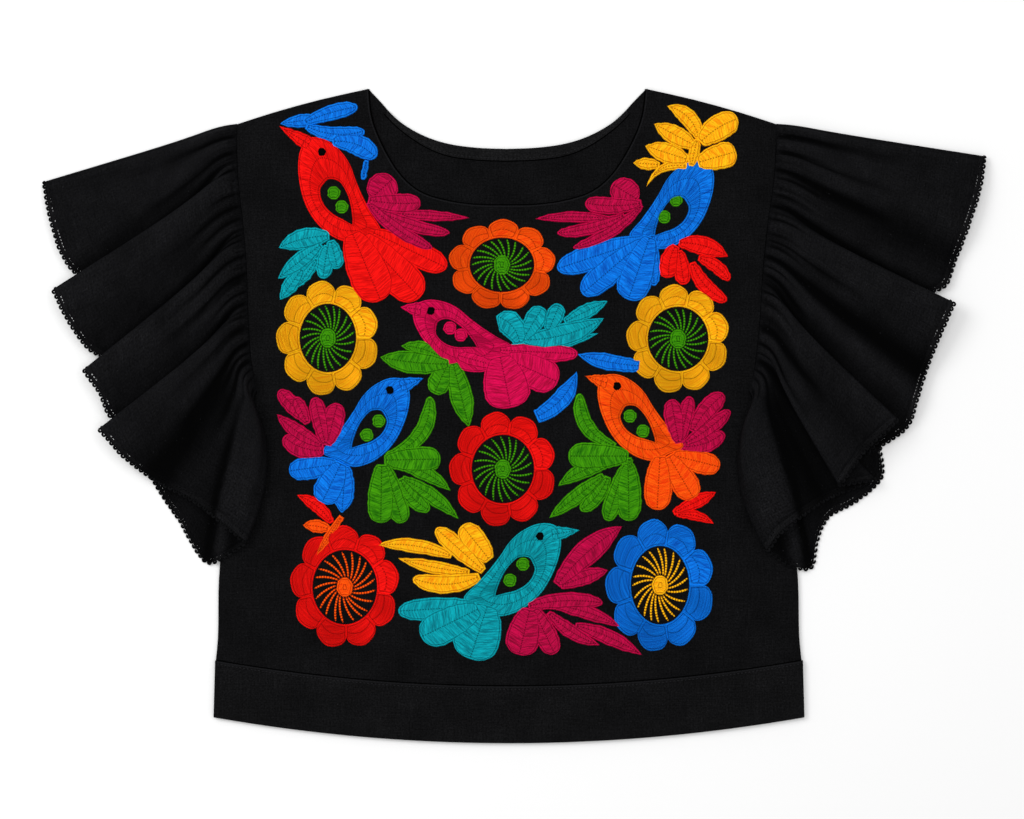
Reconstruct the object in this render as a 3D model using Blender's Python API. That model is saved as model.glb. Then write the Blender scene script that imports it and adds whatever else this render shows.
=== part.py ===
"""A short black blouse with a round neck, a deep hem band and gathered flutter sleeves.

It lies flat on its back with its front up, the neck towards +Y. Each cut piece is a wall of its
own: the front and back panels, their hem bands, the facing of the back neck, and for each sleeve
the ruffle, which is a tube all round the armhole, and the openwork edging along its hem.

Sizes are in millimetres. Tables are measured across from the centre line (x) and up from the
lowest point of the hem (y). The last step moves the middle of the whole garment to the origin.
"""

import bmesh
import bpy
import numpy as np
from mathutils import Matrix, Vector

MM = 0.001

# Cloth and seams
CLOTH = 1.2
BAND_CLOTH = 1.8
FACING_CLOTH = 1.0
SEAM_GAP = 0.3
PANEL_CELL = 26.0

# Spacing of the points along each kind of outline
SIDE_STEP = 30.0
ARMHOLE_STEP = 24.0
SHOULDER_STEP = 40.0
NECK_STEP = 12.0
FACING_STEP = 10.0
SEAM_STEP = 6.0
HEM_POINTS = 21

# Bodice, one half, with rows of x and y: the other half mirrors it
HEM_HALF_WIDTH = 251.0
HEM_RISE = 22.0
BAND_DEPTH = 48.5
BAND_OVERHANG = 1.3
PANEL_FOOT_HALF_WIDTH = 248.5
SIDE_SEAM = ((247.0, 90.0), (246.0, 140.0), (242.0, 175.0), (233.0, 215.0), (220.0, 262.0))
UNDERARM = (209.0, 299.0)
ARMHOLE = (
    UNDERARM,
    (213.0, 318.0),
    (216.5, 350.0),
    (219.0, 400.0),
    (222.5, 440.0),
    (227.0, 475.0),
    (228.5, 500.0),
    (229.0, 526.0),
)
SHOULDER_TIP = ARMHOLE[-1]
NECK_POINT = (118.0, 556.0)
SHOULDER_SEAM = (SHOULDER_TIP, (198.0, 536.0), (158.0, 547.0), NECK_POINT)
FRONT_NECKLINE = (
    NECK_POINT,
    (116.0, 536.0),
    (110.0, 517.0),
    (91.0, 484.0),
    (73.0, 468.5),
    (50.0, 461.0),
    (25.0, 457.5),
    (0.0, 457.0),
)
BACK_NECKLINE = (
    NECK_POINT,
    (107.0, 544.5),
    (98.0, 534.5),
    (88.0, 526.0),
    (70.0, 516.0),
    (50.0, 509.5),
    (25.0, 506.0),
    (0.0, 505.0),
)
FACING_WIDTH = 10.0
FACING_END_WIDTH = 4.0
FACING_HALF_SPAN = 103.0
FACING_TAPER = 0.6

# How far the centre line strays across as the blouse lies, with rows of y and shift
SWAY = ((0.0, 0.0), (150.0, -0.5), (300.0, -5.0), (480.0, -2.5), (560.0, -1.5))

# Soft ridges in the front panel, where it lies over the back: each row is a line from x0, y0
# to x1, y1, then the height of the ridge and how far it spreads
RIDGES = (
    (-200.0, 528.0, -186.0, 420.0, 1.5, 17.0),
    (-205.0, 330.0, -150.0, 260.0, 0.9, 20.0),
    (196.0, 530.0, 178.0, 430.0, 1.4, 18.0),
    (192.0, 400.0, 168.0, 250.0, 1.0, 20.0),
    (-40.0, 440.0, 30.0, 300.0, 0.6, 45.0),
    (60.0, 230.0, 150.0, 120.0, 0.6, 40.0),
    (-160.0, 130.0, -70.0, 200.0, 0.6, 38.0),
)
FRONT_AT_SEAM = 2.1
FRONT_LIFT = 0.9
LIFT_REACH = 22.0

# Sleeves. Each row is a line of the cloth from the armhole to the finished edge:
# seam is the way down the armhole, x, y and z its outer end, with z the height over what it lies
# on, puff the height of the gathers beside the seam, and bow how far it bends across.
# turn is 1 where the cloth folds back over itself, -1 where it folds back under itself.
RUFFLE_COLUMNS = ("seam", "x", "y", "z", "puff", "bow", "turn")
LEFT_FRONT = (
    (0.0, -397.0, 476.0, 2.9, 0.6, 0.0, 1),
    (11.0, -391.0, 446.0, 8.5, 5.0, 0.0, 0),
    (22.0, -380.0, 413.0, 8.0, 6.0, 0.0, 0),
    (29.0, -368.0, 397.0, 4.6, 3.5, 0.0, 0),
    (34.5, -339.0, 383.0, 4.6, 2.0, 0.0, 1),
    (42.0, -387.0, 384.0, 14.5, 7.0, 0.0, 1),
    (65.0, -375.0, 359.0, 15.0, 8.0, 0.0, 0),
    (86.0, -354.0, 331.0, 8.0, 4.5, 0.0, 0),
    (92.0, -320.0, 322.0, 4.8, 2.0, 0.0, 1),
    (100.0, -361.0, 316.0, 14.5, 7.5, 0.0, 1),
    (124.0, -348.0, 297.0, 14.0, 8.0, 0.0, 0),
    (147.0, -337.0, 274.0, 8.0, 4.5, 0.0, 0),
    (153.5, -303.0, 268.0, 4.8, 2.0, 0.0, 1),
    (161.5, -348.0, 266.0, 14.5, 7.5, 0.0, 1),
    (177.0, -326.0, 241.0, 13.0, 7.0, 0.0, 0),
    (192.0, -301.0, 222.0, 8.0, 2.0, 0.0, 0),
    (204.0, -270.0, 206.0, 12.0, 7.0, 5.0, 0),
    (217.0, -241.0, 184.0, 12.0, 8.0, 13.0, 0),
)
LEFT_BACK = (
    (228.0, -224.0, 169.0, 6.0, 1.3, 14.0, -1),
    (218.0, -240.0, 158.0, 0.4, 0.8, 6.0, 0),
    (210.0, -256.0, 151.0, 0.2, 0.5, 0.0, 0),
    (202.0, -270.0, 168.0, 0.2, 0.3, 0.0, 0),
    (193.0, -281.0, 188.0, 0.6, 0.3, 0.0, 0),
    (183.0, -296.0, 209.0, 0.1, 0.3, 0.0, 0),
    (170.0, -314.0, 241.0, 0.6, 0.3, 0.0, 0),
    (150.0, -329.0, 273.0, 0.0, 0.3, 0.0, 0),
    (122.0, -341.0, 318.0, 0.6, 0.3, 0.0, 0),
    (92.0, -352.0, 359.0, 0.0, 0.3, 0.0, 0),
    (62.0, -359.0, 392.0, 0.5, 0.3, 0.0, 0),
    (34.0, -377.0, 428.0, 0.0, 0.3, 0.0, 0),
    (14.0, -390.0, 458.0, 0.3, 0.3, 0.0, 0),
)
RIGHT_FRONT = (
    (0.0, 406.0, 498.0, 2.9, 0.6, 0.0, 1),
    (14.0, 401.0, 470.0, 8.0, 5.0, 0.0, 0),
    (28.0, 391.0, 438.0, 9.0, 7.0, 0.0, 0),
    (43.0, 381.0, 411.0, 5.2, 2.0, 0.0, 0),
    (63.0, 371.0, 387.0, 4.6, 4.0, 0.0, 0),
    (69.0, 343.0, 380.0, 4.8, 2.0, 0.0, 1),
    (77.0, 378.0, 373.0, 14.5, 7.0, 0.0, 1),
    (97.0, 365.0, 343.0, 14.5, 8.0, 0.0, 0),
    (112.0, 354.0, 312.0, 8.0, 2.5, 0.0, 0),
    (119.0, 347.0, 290.0, 9.0, 4.0, 0.0, 0),
    (127.0, 339.0, 267.0, 4.8, 3.0, 0.0, 0),
    (134.5, 303.0, 243.0, 4.8, 2.0, 0.0, 1),
    (143.0, 330.0, 274.0, 14.5, 7.0, 0.0, 1),
    (170.0, 304.0, 250.0, 17.0, 8.0, 0.0, 0),
    (191.0, 280.0, 218.0, 15.0, 7.0, 0.0, -1),
    (199.0, 312.0, 223.0, 7.6, 2.5, 0.0, -1),
    (205.5, 269.0, 205.0, 5.5, 2.0, 0.0, 0),
    (212.5, 248.0, 191.0, 10.0, 6.0, -8.0, 0),
    (220.0, 229.0, 176.0, 11.5, 8.0, -17.0, 0),
)
RIGHT_BACK = (
    (228.0, 220.0, 162.0, 6.0, 1.3, -18.0, -1),
    (218.0, 238.0, 150.0, 0.4, 0.8, -8.0, 0),
    (210.0, 257.0, 147.0, 0.2, 0.5, 0.0, 0),
    (202.0, 262.0, 169.0, 0.5, 0.3, 0.0, 0),
    (192.0, 272.0, 190.0, 0.1, 0.3, 0.0, 0),
    (180.0, 296.0, 204.0, 0.6, 0.3, 0.0, 0),
    (168.0, 318.0, 225.0, 0.1, 0.3, 0.0, 0),
    (150.0, 317.0, 252.0, 0.6, 0.3, 0.0, 0),
    (124.0, 332.0, 300.0, 0.0, 0.3, 0.0, 0),
    (96.0, 351.0, 343.0, 0.6, 0.3, 0.0, 0),
    (66.0, 359.0, 378.0, 0.0, 0.3, 0.0, 0),
    (36.0, 377.0, 424.0, 0.5, 0.3, 0.0, 0),
    (15.0, 396.0, 475.0, 0.2, 0.3, 0.0, 0),
)
EDGING_WIDTH = 5.0
EDGING_CLOTH = 1.4

# How the rows become cloth. Shares and powers are of the way out from the armhole: where the
# wall has its stations, where the puff and the roll beside the seam are highest, where the
# gathers start and end, and how fast the cloth comes down. TURN values shape one fold.
SLEEVE_STEP = 12.0
STATIONS = (0.0, 0.035, 0.1, 0.2, 0.36, 0.58, 0.8, 1.0)
TURN_LENGTH = 5.0
TURN_RISE = 2.0
TURN_SEAM = 2.2
TURN_PUFF = 1.3
PUFF_AT = 0.16
SLOPE_STEP = 0.01
GATHER_HEIGHT = 1.2
BACK_GATHER_HEIGHT = 0.3
GATHER_PITCH = 16.0
GATHER_START = 0.05
GATHER_REACH = 0.3
DROP_POWER = 0.7
ROLL = 6.0
ROLL_AT = 0.08
FLOOR_LAYER = 0.8
OVER_PANEL = 3.9
OVER_PANEL_REACH = 12.0
SLEEVE_SEAM_FRONT = 2.7
SLEEVE_SEAM_OFFSET = 0.5
ARMHOLE_DEPTH = 228.0

BLACK = (0.0065, 0.0065, 0.007, 1.0)
BLACK_SLEEVE = (0.0065, 0.0068, 0.0085, 1.0)
BLACK_EDGING = (0.008, 0.008, 0.009, 1.0)
CLOTH_ROUGHNESS = 0.85
CLOTH_SHEEN = 0.2


def column(table_columns, row, name):
    """The named value of a table row."""
    return row[table_columns.index(name)]


def ease(value):
    """0 below 0, 1 above 1 and a smooth step between."""
    value = min(max(value, 0.0), 1.0)
    return value * value * (3.0 - 2.0 * value)


def smooth_path(rows, spacing, period=None, measured=2):
    """Points about `spacing` apart on a centripetal Catmull-Rom curve through the rows.

    The first `measured` values of a row are its place, which sets the distances. The other values
    follow along. The rows themselves stay on the curve. With a period the curve closes, and the
    period is what each value has grown by after one turn.
    """
    points = [np.array(row, float) for row in rows]
    if period is not None:
        turn = np.array(period, float)
        points = [points[-1] - turn] + points + [points[0] + turn, points[1] + turn]
    else:
        points = [2 * points[0] - points[1]] + points + [2 * points[-1] - points[-2]]
    path = []
    for p0, p1, p2, p3 in zip(points, points[1:], points[2:], points[3:]):
        k0, k1, k2 = (
            max(np.linalg.norm((b - a)[:measured]), 1e-6) ** 0.5
            for a, b in ((p0, p1), (p1, p2), (p2, p3))
        )
        start = ((p1 - p0) / k0 - (p2 - p0) / (k0 + k1) + (p2 - p1) / k1) * k1
        end = ((p2 - p1) / k1 - (p3 - p1) / (k1 + k2) + (p3 - p2) / k2) * k1
        count = max(1, round(np.linalg.norm((p2 - p1)[:measured]) / spacing))
        for step in range(count):
            t = step / count
            path.append(
                (2 * t**3 - 3 * t**2 + 1) * p1
                + (t**3 - 2 * t**2 + t) * start
                + (3 * t**2 - 2 * t**3) * p2
                + (t**3 - t**2) * end
            )
    if period is None:
        path.append(points[-2])
    return path


def hem_y(x):
    """The finished bottom edge, a shallow arc."""
    return HEM_RISE * (x / HEM_HALF_WIDTH) ** 2


def band_seam_y(x):
    """The seam between the panels and their hem bands, level with the bottom edge."""
    return BAND_DEPTH + hem_y(x)


def sway(y):
    """How far the centre line strays across at this height."""
    heights, shifts = zip(*SWAY)
    return float(np.interp(y, heights, shifts))


def swayed(point):
    """The point moved across with the centre line."""
    return (point[0] + sway(point[1]), point[1])


def hem_curve(height_of, half_width):
    """Points of a hem line from the left end to the right end."""
    xs = np.linspace(-half_width, half_width, HEM_POINTS)
    return [(float(x), height_of(x)) for x in xs]


def half_outline(neckline):
    """The right edge of a panel from its band seam up to the middle of its neck."""
    side_foot = (PANEL_FOOT_HALF_WIDTH, band_seam_y(PANEL_FOOT_HALF_WIDTH) + SEAM_GAP)
    side = smooth_path((side_foot,) + SIDE_SEAM + (UNDERARM,), SIDE_STEP)[:-1]
    armhole = smooth_path(ARMHOLE, ARMHOLE_STEP)[:-1]
    shoulder = smooth_path(SHOULDER_SEAM, SHOULDER_STEP)[:-1]
    neck = smooth_path(neckline, NECK_STEP)
    return [tuple(p) for p in side + armhole + shoulder + neck]


def panel_outline(neckline):
    """The outline of a panel, anticlockwise from above."""
    right = half_outline(neckline)
    left = [(-x, y) for x, y in reversed(right[:-1])]
    seam = hem_curve(band_seam_y, PANEL_FOOT_HALF_WIDTH)[1:-1]
    foot = [(x, y + SEAM_GAP) for x, y in seam]
    return [swayed(p) for p in right + left + foot]


def band_outline():
    """The outline of a hem band."""
    seam = hem_curve(band_seam_y, HEM_HALF_WIDTH - BAND_OVERHANG)
    return hem_curve(hem_y, HEM_HALF_WIDTH) + seam[::-1]


def facing_outline():
    """The strip that faces the back neck, narrower towards the shoulders."""
    line = [p for p in smooth_path(BACK_NECKLINE, FACING_STEP) if p[0] <= FACING_HALF_SPAN]
    inner, outer = [], []
    for place, point in enumerate(line):
        ahead = line[min(place + 1, len(line) - 1)]
        behind = line[max(place - 1, 0)]
        along = Vector((ahead[0] - behind[0], ahead[1] - behind[1])).normalized()
        away = Vector((-along.y, along.x))
        share = ease((FACING_HALF_SPAN - point[0]) / (FACING_TAPER * FACING_HALF_SPAN))
        width = FACING_END_WIDTH + (FACING_WIDTH - FACING_END_WIDTH) * share
        if away.y > 0:
            away = -away
        outer.append((point[0], point[1]))
        inner.append((point[0] + away.x * width, point[1] + away.y * width))
    upper = outer + [(-x, y) for x, y in reversed(outer[:-1])]
    lower = inner + [(-x, y) for x, y in reversed(inner[:-1])]
    return [swayed(p) for p in upper + lower[::-1]]


def side_seam_x(y):
    """How far the side seam is from the centre line at this height."""
    xs, ys = zip(*SIDE_SEAM, UNDERARM)
    return float(np.interp(y, ys, xs))


def edge_distance(x, y):
    """Roughly how far inside the side seam or the shoulder seam a point of the panel lies."""
    across = abs(x - sway(y))
    tip, neck = Vector(SHOULDER_TIP), Vector(NECK_POINT)
    along = (neck - tip).normalized()
    to_shoulder = abs(along.cross(Vector((across, y)) - tip))
    to_side = side_seam_x(y) - across
    if y > UNDERARM[1]:
        to_side = Vector((across - UNDERARM[0], y - UNDERARM[1])).length
    return min(max(to_side, 0.0), to_shoulder)


def ridge_height(x, y):
    """The height of the soft ridges at a point."""
    total = 0.0
    for x0, y0, x1, y1, height, spread in RIDGES:
        start, run = Vector((x0, y0)), Vector((x1 - x0, y1 - y0))
        share = (Vector((x, y)) - start).dot(run) / run.length_squared
        nearest = start + run * min(max(share, 0.0), 1.0)
        distance = (Vector((x, y)) - nearest).length
        total += height * float(np.exp(-((distance / spread) ** 2)))
    return total


def front_height(x, y):
    """The middle of the front panel's wall over the surface the blouse lies on."""
    inside = ease(edge_distance(x, y) / LIFT_REACH)
    return FRONT_AT_SEAM + inside * (FRONT_LIFT + ridge_height(x, y))


def flat_at(height):
    """A height_at function for a piece that lies level."""
    return lambda x, y: height


def cloth_material(name, colour):
    """The matt woven cloth of one cut piece."""
    material = bpy.data.materials.new(name + "_cloth")
    material.use_nodes = True
    shader = material.node_tree.nodes["Principled BSDF"]
    shader.inputs["Base Color"].default_value = colour
    shader.inputs["Roughness"].default_value = CLOTH_ROUGHNESS
    shader.inputs["Metallic"].default_value = 0.0
    shader.inputs["Sheen Weight"].default_value = CLOTH_SHEEN
    return material


def mesh_object(name, bm, colour):
    """The finished object of one cut piece."""
    mesh = bpy.data.meshes.new(name)
    bm.to_mesh(mesh)
    bm.free()
    mesh.shade_smooth()
    mesh.materials.append(cloth_material(name, colour))
    piece = bpy.data.objects.new(name, mesh)
    bpy.context.scene.collection.objects.link(piece)
    return piece


def panel(name, outline, height_at, thickness, cell=None):
    """A cut piece that lies flat: its outline filled, cut into cells and raised to its height."""
    bm = bmesh.new()
    bm.faces.new([bm.verts.new((x * MM, y * MM, 0.0)) for x, y in outline])
    if cell:
        for axis in (0, 1):
            places = [point[axis] for point in outline]
            count = int((max(places) - min(places)) / cell)
            direction = Vector((1 - axis, axis, 0))
            for place in np.linspace(min(places), max(places), count + 1)[1:-1]:
                bmesh.ops.bisect_plane(
                    bm,
                    geom=bm.verts[:] + bm.edges[:] + bm.faces[:],
                    dist=1e-6,
                    plane_co=direction * float(place) * MM,
                    plane_no=direction,
                )
    for vert in bm.verts:
        vert.co.z = height_at(vert.co.x / MM, vert.co.y / MM) * MM
    piece = mesh_object(name, bm, BLACK)
    wall = piece.modifiers.new("wall", "SOLIDIFY")
    wall.thickness = thickness * MM
    wall.offset = 0.0
    return piece


def armhole_path():
    """Points down the armhole from the shoulder, and how far down each one is."""
    path = np.array(smooth_path(ARMHOLE, SEAM_STEP)[::-1])
    steps = np.linalg.norm(np.diff(path, axis=0), axis=1)
    return path, np.concatenate([[0.0], np.cumsum(steps)])


def armhole_place(seam, side):
    """The point `seam` down the armhole from the shoulder, and the way out of the bodice there."""
    path, reached = armhole_path()
    across = float(np.interp(seam, reached, path[:, 0]))
    y = float(np.interp(seam, reached, path[:, 1]))
    x = side * (across + SLEEVE_SEAM_OFFSET) + sway(y)
    return np.array([x, y]), np.array([side, 0.0])


def turned_rows(rows):
    """The rows in order as (x, y, z, round, puff, bow), each fold as three close rows.

    round is the way round the armhole: down its front from the shoulder, then up its back.
    """
    placed = []
    for place, row in enumerate(rows):
        x, y, z = (column(RUFFLE_COLUMNS, row, name) for name in ("x", "y", "z"))
        around, puff, bow = (column(RUFFLE_COLUMNS, row, name) for name in ("seam", "puff", "bow"))
        turn = column(RUFFLE_COLUMNS, row, "turn")
        if not turn:
            placed.append((x, y, z, around, puff, bow))
            continue
        here = np.array([x, y])
        for after, neighbour in ((-1, rows[place - 1]), (1, rows[(place + 1) % len(rows)])):
            towards = np.array(neighbour[1:3]) - here
            towards = towards / np.linalg.norm(towards) * TURN_LENGTH
            close = (x + towards[0], y + towards[1], z + after * turn * TURN_RISE)
            lift = max(puff + after * turn * TURN_PUFF, 0.0)
            placed.append(close + (around + after * TURN_SEAM, lift, bow))
        placed.insert(-1, (x, y, z, around, puff, bow))
    return placed


def over_panel(x, y, side):
    """How much higher a layer lies here because the front panel is under it."""
    across = side * (x - sway(y))
    near = ease((side_seam_x(y) + OVER_PANEL_REACH - across) / OVER_PANEL_REACH)
    below = ease((UNDERARM[1] - y) / OVER_PANEL_REACH)
    return OVER_PANEL * near * below


def sleeve_lines(front, back, side):
    """Lines of the sleeve, each as its armhole end, its outer end and how it lies between."""
    length = armhole_path()[1][-1]
    scale = length / ARMHOLE_DEPTH
    ring = [(row[0] * scale,) + row[1:] for row in front]
    ring += [(2 * length - row[0] * scale,) + row[1:] for row in back]
    period = (0.0, 0.0, 0.0, 2 * length, 0.0, 0.0)
    lines = []
    for x, y, z, around, puff, bow in smooth_path(turned_rows(ring), SLEEVE_STEP, period, 3):
        past = around if around < 1.5 * length else around - 2 * length
        inside = min(past, length - past) / (2 * TURN_SEAM)
        seam = min(abs(past), 2 * length - past)
        start, out = armhole_place(seam, side)
        start_z = CLOTH / 2 + (SLEEVE_SEAM_FRONT - CLOTH / 2) * ease(inside + 0.5)
        on_front = inside > 0
        lines.append((start, start_z, out, np.array([x, y]), z, puff, bow, around, on_front))
    return lines


def line_length(line):
    """How far the line's outer end is from the armhole, seen from above."""
    start, end = line[0], line[3]
    return float(np.linalg.norm(end - start))


def sleeve_point(line, share, side):
    """The point of a sleeve's line at this share of its way from the armhole."""
    start, start_z, out, end, z, puff, bow, around, on_front = line
    place = start + (end - start) * share
    place = place + np.array([bow, 0.0]) * 4 * share * (1 - share)
    place = place + out * ROLL * (share / ROLL_AT) * np.exp(1 - share / ROLL_AT) * (share < 1)
    rise = (share / PUFF_AT) * np.exp(1 - share / PUFF_AT)
    height = start_z + (FLOOR_LAYER + z - start_z) * share**DROP_POWER + puff * rise
    fade = max(0.0, 1 - share / GATHER_REACH) * min(1.0, share / GATHER_START)
    depth = GATHER_HEIGHT if on_front else BACK_GATHER_HEIGHT
    height += depth * fade * (1 + np.cos(2 * np.pi * around / GATHER_PITCH)) / 2
    height += over_panel(place[0], place[1], side)
    return Vector((place[0], place[1], max(height, CLOTH / 2))) * MM


def sleeve_wall(lines, shares, side, thickness):
    """Closed rings round a sleeve's wall: outwards over its upper face and back under its lower.

    shares holds, for each station, the share of its way that each line has come.
    """
    upper, lower = [], []
    count = len(lines)
    for station in shares:
        above, below = [], []
        for k, share in enumerate(station):
            along = sleeve_point(lines[k], share + SLOPE_STEP, side)
            along -= sleeve_point(lines[k], max(share - SLOPE_STEP, 0.0), side)
            across = sleeve_point(lines[(k + 1) % count], share, side)
            across -= sleeve_point(lines[k - 1], share, side)
            normal = along.cross(across).normalized() * side
            middle = sleeve_point(lines[k], share, side)
            above.append(middle + normal * thickness / 2 * MM)
            below.append(middle - normal * thickness / 2 * MM)
        upper.append(above)
        lower.append(below)
    return upper + lower[::-1]


def loft(name, rings, colour):
    """A closed wall through rings of points, each ring extruded from the one before."""
    bm = bmesh.new()
    station = bm.verts.layers.int.new("station")
    first = [bm.verts.new(point) for point in rings[0]]
    for place, vert in enumerate(first):
        vert[station] = place
    first_edges = [bm.edges.new((first[k - 1], first[k])) for k in range(len(first))]
    edges = first_edges
    faces = []
    for ring in rings[1:]:
        grown = bmesh.ops.extrude_edge_only(bm, edges=edges)["geom"]
        fresh = {item for item in grown if isinstance(item, bmesh.types.BMVert)}
        for vert in fresh:
            vert.co = ring[vert[station]]
        edges = [
            item
            for item in grown
            if isinstance(item, bmesh.types.BMEdge) and all(v in fresh for v in item.verts)
        ]
        faces.append([item for item in grown if isinstance(item, bmesh.types.BMFace)])
    last = {v[station]: v for edge in edges for v in edge.verts}
    closing = [
        bm.faces.new((first[k - 1], first[k], last[k], last[(k - 1) % len(first)]))
        for k in range(len(first))
    ]
    # The two sides of the wall are cut along the same diagonals, so that they stay apart
    half = len(rings) // 2
    upper, lower = sum(faces[:half], []), sum(faces[half:], closing)
    bmesh.ops.triangulate(bm, faces=upper, quad_method="FIXED")
    bmesh.ops.triangulate(bm, faces=lower, quad_method="ALTERNATE")
    bmesh.ops.recalc_face_normals(bm, faces=bm.faces[:])
    return mesh_object(name, bm, colour)


def sleeve(word, front, back, side):
    """The ruffle of one sleeve and the edging along its hem."""
    lines = sleeve_lines(front, back, side)
    lengths = [line_length(line) for line in lines]
    hems = [1 - (EDGING_WIDTH + SEAM_GAP) / length for length in lengths]
    ruffle = [[share * hem for hem in hems] for share in STATIONS]
    strip = [[1 - EDGING_WIDTH / length for length in lengths], [1.0] * len(lines)]
    loft("sleeve_" + word, sleeve_wall(lines, ruffle, side, CLOTH), BLACK_SLEEVE)
    loft("edging_" + word, sleeve_wall(lines, strip, side, EDGING_CLOTH), BLACK_EDGING)


def centre_at_origin():
    """Moves the middle of the whole garment's box to the origin, with its underside at z = 0."""
    bpy.context.view_layer.update()
    graph = bpy.context.evaluated_depsgraph_get()
    corners = []
    for piece in bpy.context.scene.objects:
        mesh = piece.evaluated_get(graph).to_mesh()
        corners += [vert.co.copy() for vert in mesh.vertices]
    low = Vector([min(point[axis] for point in corners) for axis in range(3)])
    high = Vector([max(point[axis] for point in corners) for axis in range(3)])
    shift = Matrix.Translation((-(low.x + high.x) / 2, -(low.y + high.y) / 2, -low.z))
    for piece in bpy.context.scene.objects:
        piece.data.transform(shift)
    print("moved by", [round(value / MM, 3) for value in shift.translation], "mm")
    print("size", [round(value / MM, 1) for value in high - low], "mm")


def main():
    """Clears the scene and builds every cut piece."""
    for item in list(bpy.data.objects):
        bpy.data.objects.remove(item)
    back_band_z = flat_at(BAND_CLOTH / 2)
    front_band_z = flat_at(BAND_CLOTH + SEAM_GAP + BAND_CLOTH / 2)
    facing_z = flat_at(CLOTH + SEAM_GAP + FACING_CLOTH / 2)
    panel("front_panel", panel_outline(FRONT_NECKLINE), front_height, CLOTH, PANEL_CELL)
    panel("back_panel", panel_outline(BACK_NECKLINE), flat_at(CLOTH / 2), CLOTH)
    panel("front_hem_band", band_outline(), front_band_z, BAND_CLOTH)
    panel("back_hem_band", band_outline(), back_band_z, BAND_CLOTH)
    panel("back_neck_facing", facing_outline(), facing_z, FACING_CLOTH)
    sleeve("left", LEFT_FRONT, LEFT_BACK, -1.0)
    sleeve("right", RIGHT_FRONT, RIGHT_BACK, 1.0)
    centre_at_origin()


main()
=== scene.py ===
# %% [markdown]
# This blouse lies flat on a pale surface, seen from straight above. Its solids were built as CAD
# first. Here each plain solid is dressed with a finer piece: woven cloth, gathered sleeves,
# stitching, a picot edging and the satin stitch embroidery. Every measure below is in
# millimetres, in the frame of the CAD, with the neck towards +Y and the front up.

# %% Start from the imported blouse
import random

import bmesh
import bpy
import numpy as np
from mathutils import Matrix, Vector


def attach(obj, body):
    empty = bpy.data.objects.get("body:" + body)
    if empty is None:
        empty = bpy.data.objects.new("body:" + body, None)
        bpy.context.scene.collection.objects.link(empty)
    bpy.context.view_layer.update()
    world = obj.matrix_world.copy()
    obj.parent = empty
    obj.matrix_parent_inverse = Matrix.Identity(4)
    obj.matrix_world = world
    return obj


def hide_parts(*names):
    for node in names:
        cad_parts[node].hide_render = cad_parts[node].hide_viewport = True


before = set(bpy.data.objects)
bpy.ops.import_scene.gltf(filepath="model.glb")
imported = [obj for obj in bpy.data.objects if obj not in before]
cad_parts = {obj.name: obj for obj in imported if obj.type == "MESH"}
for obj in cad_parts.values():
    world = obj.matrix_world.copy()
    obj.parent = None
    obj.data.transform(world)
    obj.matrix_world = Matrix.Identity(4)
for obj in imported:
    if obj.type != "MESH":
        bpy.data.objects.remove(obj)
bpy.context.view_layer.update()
MM = 0.001
random.seed(7)
print("nodes", sorted(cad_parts))

# %% [markdown]
# The camera looks straight down from 2.4 m with a long lens, so that the garment's outline is
# hardly distorted. A broad softbox and a bright surround give the even light of a catalogue.

# %% Camera, floor and light
VIEW_CENTRE, CAMERA_HEIGHT, LENS, FILM_WIDTH = (-1.9, 5.5), 2420.0, 100.0, 36.0
SURROUND_STRENGTH, TABLE_SIZE, TABLE_GAP = 0.66, 4.0, 0.4

camera_data = bpy.data.cameras.new("camera")
camera_data.lens, camera_data.sensor_width = LENS, FILM_WIDTH
camera_data.clip_end = 20.0
camera = bpy.data.objects.new("camera", camera_data)
camera.location = (VIEW_CENTRE[0] * MM, VIEW_CENTRE[1] * MM, CAMERA_HEIGHT * MM)
bpy.context.scene.collection.objects.link(camera)
bpy.context.scene.camera = camera

LIGHTS = (
    # name, x, y, z, size, watts
    ("softbox_left", -1500.0, 900.0, 1700.0, 1.2, 27.0),
    ("softbox_top", 300.0, 300.0, 2600.0, 2.2, 30.0),
)
for name, x, y, z, size, watts in LIGHTS:
    lamp = bpy.data.lights.new(name, "AREA")
    lamp.shape = "SQUARE"
    lamp.size, lamp.energy = size, watts
    light = bpy.data.objects.new(name, lamp)
    light.location = Vector((x, y, z)) * MM
    light.rotation_euler = (-light.location).to_track_quat("-Z", "Y").to_euler()
    bpy.context.scene.collection.objects.link(light)

# Standard keeps the black cotton black and the threads' colours pure.
bpy.context.scene.view_settings.view_transform = "Standard"
world = bpy.data.worlds.new("studio")
world.use_nodes = True
surround = world.node_tree.nodes["Background"].inputs
surround["Color"].default_value = (1.0, 1.0, 1.0, 1.0)
surround["Strength"].default_value = SURROUND_STRENGTH
bpy.context.scene.world = world


def finished(name, bm, material, smooth=True):
    """The object of a finished bmesh, at the origin, with its material."""
    mesh = bpy.data.meshes.new(name)
    bm.to_mesh(mesh)
    bm.free()
    if smooth:
        mesh.shade_smooth()
    mesh.materials.append(material)
    piece = bpy.data.objects.new(name, mesh)
    bpy.context.scene.collection.objects.link(piece)
    return piece


table_paint = bpy.data.materials.new("white_table")
table_paint.use_nodes = True
table_finish = table_paint.node_tree.nodes["Principled BSDF"].inputs
table_finish["Base Color"].default_value = (0.80, 0.80, 0.80, 1)
table_finish["Roughness"].default_value = 0.9
bm = bmesh.new()
bmesh.ops.create_grid(bm, x_segments=1, y_segments=1, size=TABLE_SIZE)
bmesh.ops.translate(bm, verts=bm.verts, vec=(0, 0, -TABLE_GAP * MM))
finished("table_top", bm, table_paint, smooth=False)
print("camera at", tuple(round(v, 3) for v in camera.location))

# %% [markdown]
# Four small helpers serve every piece. One eases a value in and out, one draws a smooth line
# through a few rows of a table, one spreads points evenly along a line, and one maps a flat grid
# to any shape that two numbers can describe. A grid is the simplest start for cloth, because its
# rows and columns are its threads.

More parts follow.
